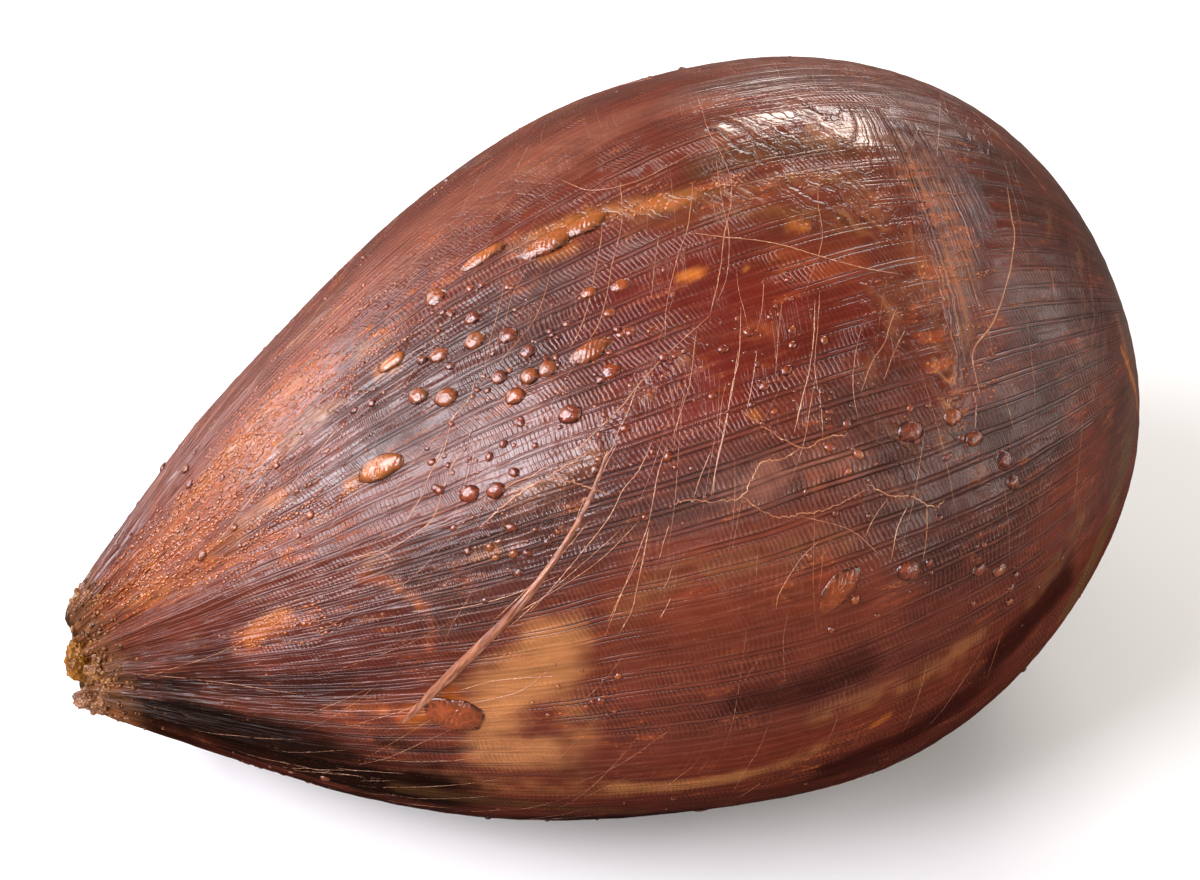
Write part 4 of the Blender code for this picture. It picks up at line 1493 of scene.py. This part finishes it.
def loose_strand(draw, radius):
    """A strand on a side that the photo doesn't show."""
    along, turn = draw.uniform(0.15, 0.9), draw.uniform(125, 330)
    length, lean = draw.uniform(0.02, 0.07), draw.choice((-1, 1)) * draw.uniform(0.5, 1.4)
    knots, heading = [(along, math.radians(turn))], lean
    for _ in range(4):
        heading += draw.gauss(0, 0.18)
        radius_here = HALF_WIDTH * max(0.15, float(girth(np.array(knots[-1][0]), np.array(knots[-1][1]))))
        next_along = knots[-1][0] + math.cos(heading) * length / 4 / LENGTH
        knots.append((min(0.96, max(0.04, next_along)), knots[-1][1] + math.sin(heading) * length / 4 / radius_here))
    route = smooth_route(knots, 9)
    share = np.linspace(0, 1, len(route))
    thick = radius * (0.35 + 0.65 * np.sin(math.pi * share)) * np.array([draw.uniform(0.7, 1.2) for _ in share])
    return np.column_stack((route, thick))


class HAM_OT_threads(bpy.types.Operator):
    """Lay the dried threads and the torn edges of film over the skin"""

    bl_idname = "ham.threads"
    bl_label = "Threads"

    def execute(self, context):
        usual = context.scene.ham_sizes.thread_radius
        surface = SkinSurface()
        draw = random.Random(11)
        routes = [pixel_strand(pixels, usual * share, draw, 0.00003) for share, pixels in THREADS]
        routes += [fine_strand(draw, usual * draw.uniform(0.35, 0.62)) for _ in range(300)]
        finish_piece(strands("threads", routes, surface, 0.2), thread_material())
        edges = [pixel_strand(pixels, usual * share, draw, 0.00016) for share, pixels in FILM_LINES]
        edges += [loose_strand(draw, usual * draw.uniform(1.4, 2.0)) for _ in range(9)]
        finish_piece(strands("film_lines", edges, surface, 0.35), thread_material())
        return {"FINISHED"}


class HAM_OT_tendon(bpy.types.Operator):
    """Lay the raised tendon and the rolled edge of the film"""

    bl_idname = "ham.tendon"
    bl_label = "Tendon"

    def execute(self, context):
        surface = SkinSurface()
        for name, rows, material in (
            ("tendon", TENDON, tendon_material()),
            ("film_edge", FILM_EDGE, thread_material()),
        ):
            knots = [(along, math.radians(turn), radius) for along, turn, radius in rows]
            route = smooth_route(knots, 12)
            thin = (1, 1, 0.8 if name == "tendon" else 0.28)
            finish_piece(strands(name, [route * thin], surface, 0.6, 3), material)
        return {"FINISHED"}


def jelly_material(name, deep, pale, crust, roughness=0.22):
    """Dried jelly and meat juice: cloudy, cracked and glossy."""
    graph = Graph(name, roughness, Specular_IOR_Level=0.45)
    spot = graph.node("ShaderNodeTexCoord", {}, (), "Object")
    cloud = graph.grain(spot, 160.0, 4.0, 0.6, 0.5)
    speck = graph.grain(spot, 800.0, 3.0, 0.6)
    cracks = graph.crease(spot, 300.0, 3.0, 0.8)
    colour = graph.mix(graph.ease(cloud, 0.35, 0.65), deep, pale)
    colour = graph.mix(graph.ease(speck, 0.55, 0.75) * 0.55, colour, crust)
    graph.feed("Base Color", colour)
    graph.bump(cloud * 0.5 + speck * 0.2 + graph.ease(cracks, 0.2, 1.0) * 0.25)
    return graph.material


class HAM_OT_shank(bpy.types.Operator):
    """Model the jelly, the crumbs and the bare meat at the shank end"""

    bl_idname = "ham.shank"
    bl_label = "Shank end"

    def lump(self, name, middle, size, crag, seed, share):
        """A craggy lump about a point, as large as its size times a share."""
        deselect()
        bpy.ops.mesh.primitive_ico_sphere_add(subdivisions=6, radius=1.0)
        piece = take_selected(name)
        places = np.empty(len(piece.data.vertices) * 3, np.float32)
        piece.data.vertices.foreach_get("co", places)
        unit = places.reshape(-1, 3).astype(float)
        points = unit * np.array(size) * share
        rough = noise_at(points, 0.0040, seed) + 0.5 * noise_at(points, 0.0018, seed + 1)
        rough = rough + 0.45 * noise_at(points, 0.0008, seed + 2)
        points = points + unit * (crag * rough)[:, None] + middle
        points[:, 0] = np.maximum(points[:, 0], CAD_LOW[0] + 0.0002)
        move_vertices(piece.data, points)
        return piece

    def execute(self, context):
        share = context.scene.ham_sizes.jelly_size / 0.0125
        jelly = jelly_material("jelly", (0.12, 0.038, 0.002), (0.24, 0.088, 0.005), (0.38, 0.17, 0.03))
        crumb = jelly_material("dried crumbs", (0.070, 0.020, 0.006), (0.22, 0.075, 0.016), (0.55, 0.28, 0.09), 0.3)
        gold = jelly_material("golden crumbs", (0.13, 0.045, 0.012), (0.30, 0.125, 0.035), (0.56, 0.34, 0.15), 0.25)
        meat = jelly_material("bare meat", (0.10, 0.030, 0.010), (0.24, 0.100, 0.040), (0.46, 0.29, 0.15), 0.25)
        for name, shift, size, crag, seed, material in (
            ("shank_core", (0.0020, 0.001, 0.0), (0.0036, 0.0120, 0.0108), 0.0018, 29.0, crumb),
            ("shank_jelly", (-0.0016, -0.0080, 0.0070), (0.0036, 0.0058, 0.0056), 0.0010, 4.0, jelly),
            ("shank_crust", (0.0068, 0.0040, 0.0122), (0.0050, 0.0085, 0.0062), 0.0024, 9.0, crumb),
            ("shank_fat", (0.0030, -0.0126, 0.0060), (0.0042, 0.0040, 0.0066), 0.0018, 14.0, gold),
            ("shank_meat", (0.0014, -0.0130, -0.0024), (0.0056, 0.0046, 0.0044), 0.0022, 19.0, meat),
            ("shank_far", (0.0062, 0.0092, 0.0050), (0.0044, 0.0056, 0.0070), 0.0020, 24.0, crumb),
        ):
            finish_piece(self.lump(name, place(0.0, 0.0, 0.0) + shift, size, crag, seed, share), material)
        self.crumbs("shank_crumbs", crumb, 31, 420)
        self.crumbs("shank_grains", gold, 37, 300)
        return {"FINISHED"}

    def crumbs(self, name, material, seed, count):
        """Small crumbs of dried juice round the rim of the stub, as one mesh."""
        draw = random.Random(seed)
        middle = place(0.0, 0.0, 0.0)
        deselect()
        bpy.ops.mesh.primitive_ico_sphere_add(subdivisions=2, radius=1.0)
        piece = take_selected(name)
        places = np.empty(len(piece.data.vertices) * 3, np.float32)
        piece.data.vertices.foreach_get("co", places)
        unit = places.reshape(-1, 3).astype(float)
        faces = [tuple(face.vertices) for face in piece.data.polygons]
        points, all_faces = [], []
        for number in range(count):
            around = draw.uniform(0, math.tau)
            along = abs(draw.gauss(0.0, 0.016))
            home = skin(np.array([along]), np.array([around]))[0]
            if along < 0.006:
                home = home + (middle - home) * draw.uniform(0.0, 0.9)
            size = draw.uniform(0.0003, 0.0009) * (1 - 8 * along)
            lumpy = 1 + 0.35 * noise_at(unit + number, 0.7)
            shape = unit * lumpy[:, None] * max(0.0002, size) * np.array([draw.uniform(0.7, 1.2) for _ in range(3)])
            points.append(shape + home)
            all_faces.extend(tuple(corner + number * len(unit) for corner in face) for face in faces)
        mesh = bpy.data.meshes.new(name)
        spread = np.concatenate(points)
        spread[:, 0] = np.maximum(spread[:, 0], CAD_LOW[0] + 0.0003)
        mesh.from_pydata(spread.tolist(), [], all_faces)
        piece.data = mesh
        finish_piece(piece, material)


class HAM_OT_studio(bpy.types.Operator):
    """Set up the floor, the soft lights and the camera"""

    bl_idname = "ham.studio"
    bl_label = "Studio"

    def execute(self, context):
        studio = context.scene.ham_studio
        self.floor(studio)
        self.world(context, studio)
        for across in (-0.33, 0.33):
            for up in (-0.30, 0.30):
                self.light("window pane", (-0.74, -0.02, 0.60), 1.45, (0.54, 0.48), 15.0, (0.95, 0.93, 1.0), True, (across, up))
                self.light(
                    "window far", (0.45, 0.72, 0.50), 1.7, (0.38, 0.24), 14.0, (1.0, 0.96, 0.91), True, (across * 0.7, up * 0.5)
                )
                self.light(
                    "window right", (0.92, -0.16, 0.36), 1.6, (0.26, 0.22), 8.0, (1.0, 0.98, 0.97), True, (across * 0.9, up * 0.7)
                )
        self.light("sky far left", (-0.60, 0.78, 0.24), 1.7, (0.9, 0.75), 4.5, (0.95, 0.93, 1.0))
        for name, direction, size, radiance in (
            ("strip front left", (-0.30, -0.72, 0.62), (0.06, 0.9), 9.0),
            ("strip front right", (0.52, -0.80, 0.30), (0.14, 0.7), 11.0),
            ("strip front far right", (0.78, -0.60, 0.18), (0.14, 0.6), 11.0),
            ("strip low right", (0.97, -0.25, 0.06), (0.5, 0.10), 7.0),
        ):
            self.light(name, direction, 1.6, size, radiance, (1.0, 0.96, 0.91))
        self.light("front fill", (0.05, -0.75, 0.65), 1.7, (1.6, 1.2), 0.8, (1.0, 0.93, 0.84), False)
        self.light("overhead fill", (0.15, 0.25, 1.0), 1.7, (1.6, 1.6), 0.7, (1.0, 0.94, 0.87), False)
        self.camera(context)
        context.scene.view_settings.view_transform = "Standard"
        return {"FINISHED"}

    def floor(self, studio):
        deselect()
        bpy.ops.mesh.primitive_plane_add(size=12.0, location=(0.0, 0.0, -0.0005))
        floor = take_selected("floor")
        graph = Graph("pale floor", 0.85, Specular_IOR_Level=0.1)
        graph.shader.inputs["Base Color"].default_value = (*studio.floor_colour, 1.0)
        floor.data.materials.append(graph.material)
        floor.visible_glossy = False

    def world(self, context, studio):
        world = bpy.data.worlds.new("even light")
        world.use_nodes = True
        background = world.node_tree.nodes["Background"]
        background.inputs["Color"].default_value = (1.0, 0.93, 0.86, 1.0)
        background.inputs["Strength"].default_value = studio.world_light
        context.scene.world = world

    def light(self, name, direction, distance, size, radiance, colour, shiny=True, moved=(0, 0)):
        """A soft panel that faces the ham and has this brightness at its face."""
        lamp = bpy.data.lights.new(name, "AREA")
        lamp.shape = "RECTANGLE"
        lamp.size, lamp.size_y = size
        lamp.energy = radiance * math.pi * size[0] * size[1]
        lamp.color = colour
        panel = bpy.data.objects.new(name, lamp)
        toward = Vector(direction).normalized()
        facing = toward.to_track_quat("Z", "Y")
        panel.location = VIEW_TARGET + toward * distance + facing @ Vector((*moved, 0.0))
        panel.rotation_euler = facing.to_euler()
        panel.visible_glossy = shiny
        bpy.context.scene.collection.objects.link(panel)

    def camera(self, context):
        eye, right, up, back = view_axes()
        lens = bpy.data.cameras.new("camera")
        lens.sensor_width = 36.0
        lens.lens = FOCAL_PIXELS / PHOTO_WIDTH * 36.0
        lens.shift_x = -OBJECT_RIGHT_PIXELS / PHOTO_WIDTH
        lens.shift_y = OBJECT_DOWN_PIXELS / PHOTO_WIDTH
        lens.clip_start = 0.01
        camera = bpy.data.objects.new("camera", lens)
        camera.location = eye
        camera.rotation_euler = back.to_track_quat("Z", "Y").to_euler()
        context.scene.collection.objects.link(camera)
        context.scene.camera = camera


class HAM_PT_panel(bpy.types.Panel):
    """Lists the steps that build the ham"""

    bl_idname = "HAM_PT_panel"
    bl_label = "Baked ham"
    bl_space_type = "VIEW_3D"
    bl_region_type = "UI"
    bl_category = "Ham"

    def draw(self, context):
        for operator in OPERATORS:
            self.layout.operator(operator.bl_idname)
        for group in (context.scene.ham_sizes, context.scene.ham_finish, context.scene.ham_studio):
            for name in group.__annotations__:
                self.layout.prop(group, name)


OPERATORS = (
    HAM_OT_skin,
    HAM_OT_blisters,
    HAM_OT_beads,
    HAM_OT_bubbles,
    HAM_OT_threads,
    HAM_OT_tendon,
    HAM_OT_shank,
    HAM_OT_studio,
)
GROUPS = {"ham_sizes": HamSizes, "ham_finish": HamFinish, "ham_studio": HamStudio}


def register():
    for group in (*GROUPS.values(), *OPERATORS, HAM_PT_panel):
        bpy.utils.register_class(group)
    for name, group in GROUPS.items():
        setattr(bpy.types.Scene, name, bpy.props.PointerProperty(type=group))


def unregister():
    for name in GROUPS:
        delattr(bpy.types.Scene, name)
    for group in (HAM_PT_panel, *reversed(OPERATORS), *GROUPS.values()):
        bpy.utils.unregister_class(group)


def main():
    register()
    bpy.ops.ham.skin()
    bpy.ops.ham.blisters()
    bpy.ops.ham.beads()
    bpy.ops.ham.bubbles()
    bpy.ops.ham.threads()
    bpy.ops.ham.tendon()
    bpy.ops.ham.shank()
    bpy.ops.ham.studio()


if __name__ == "__main__":
    main()
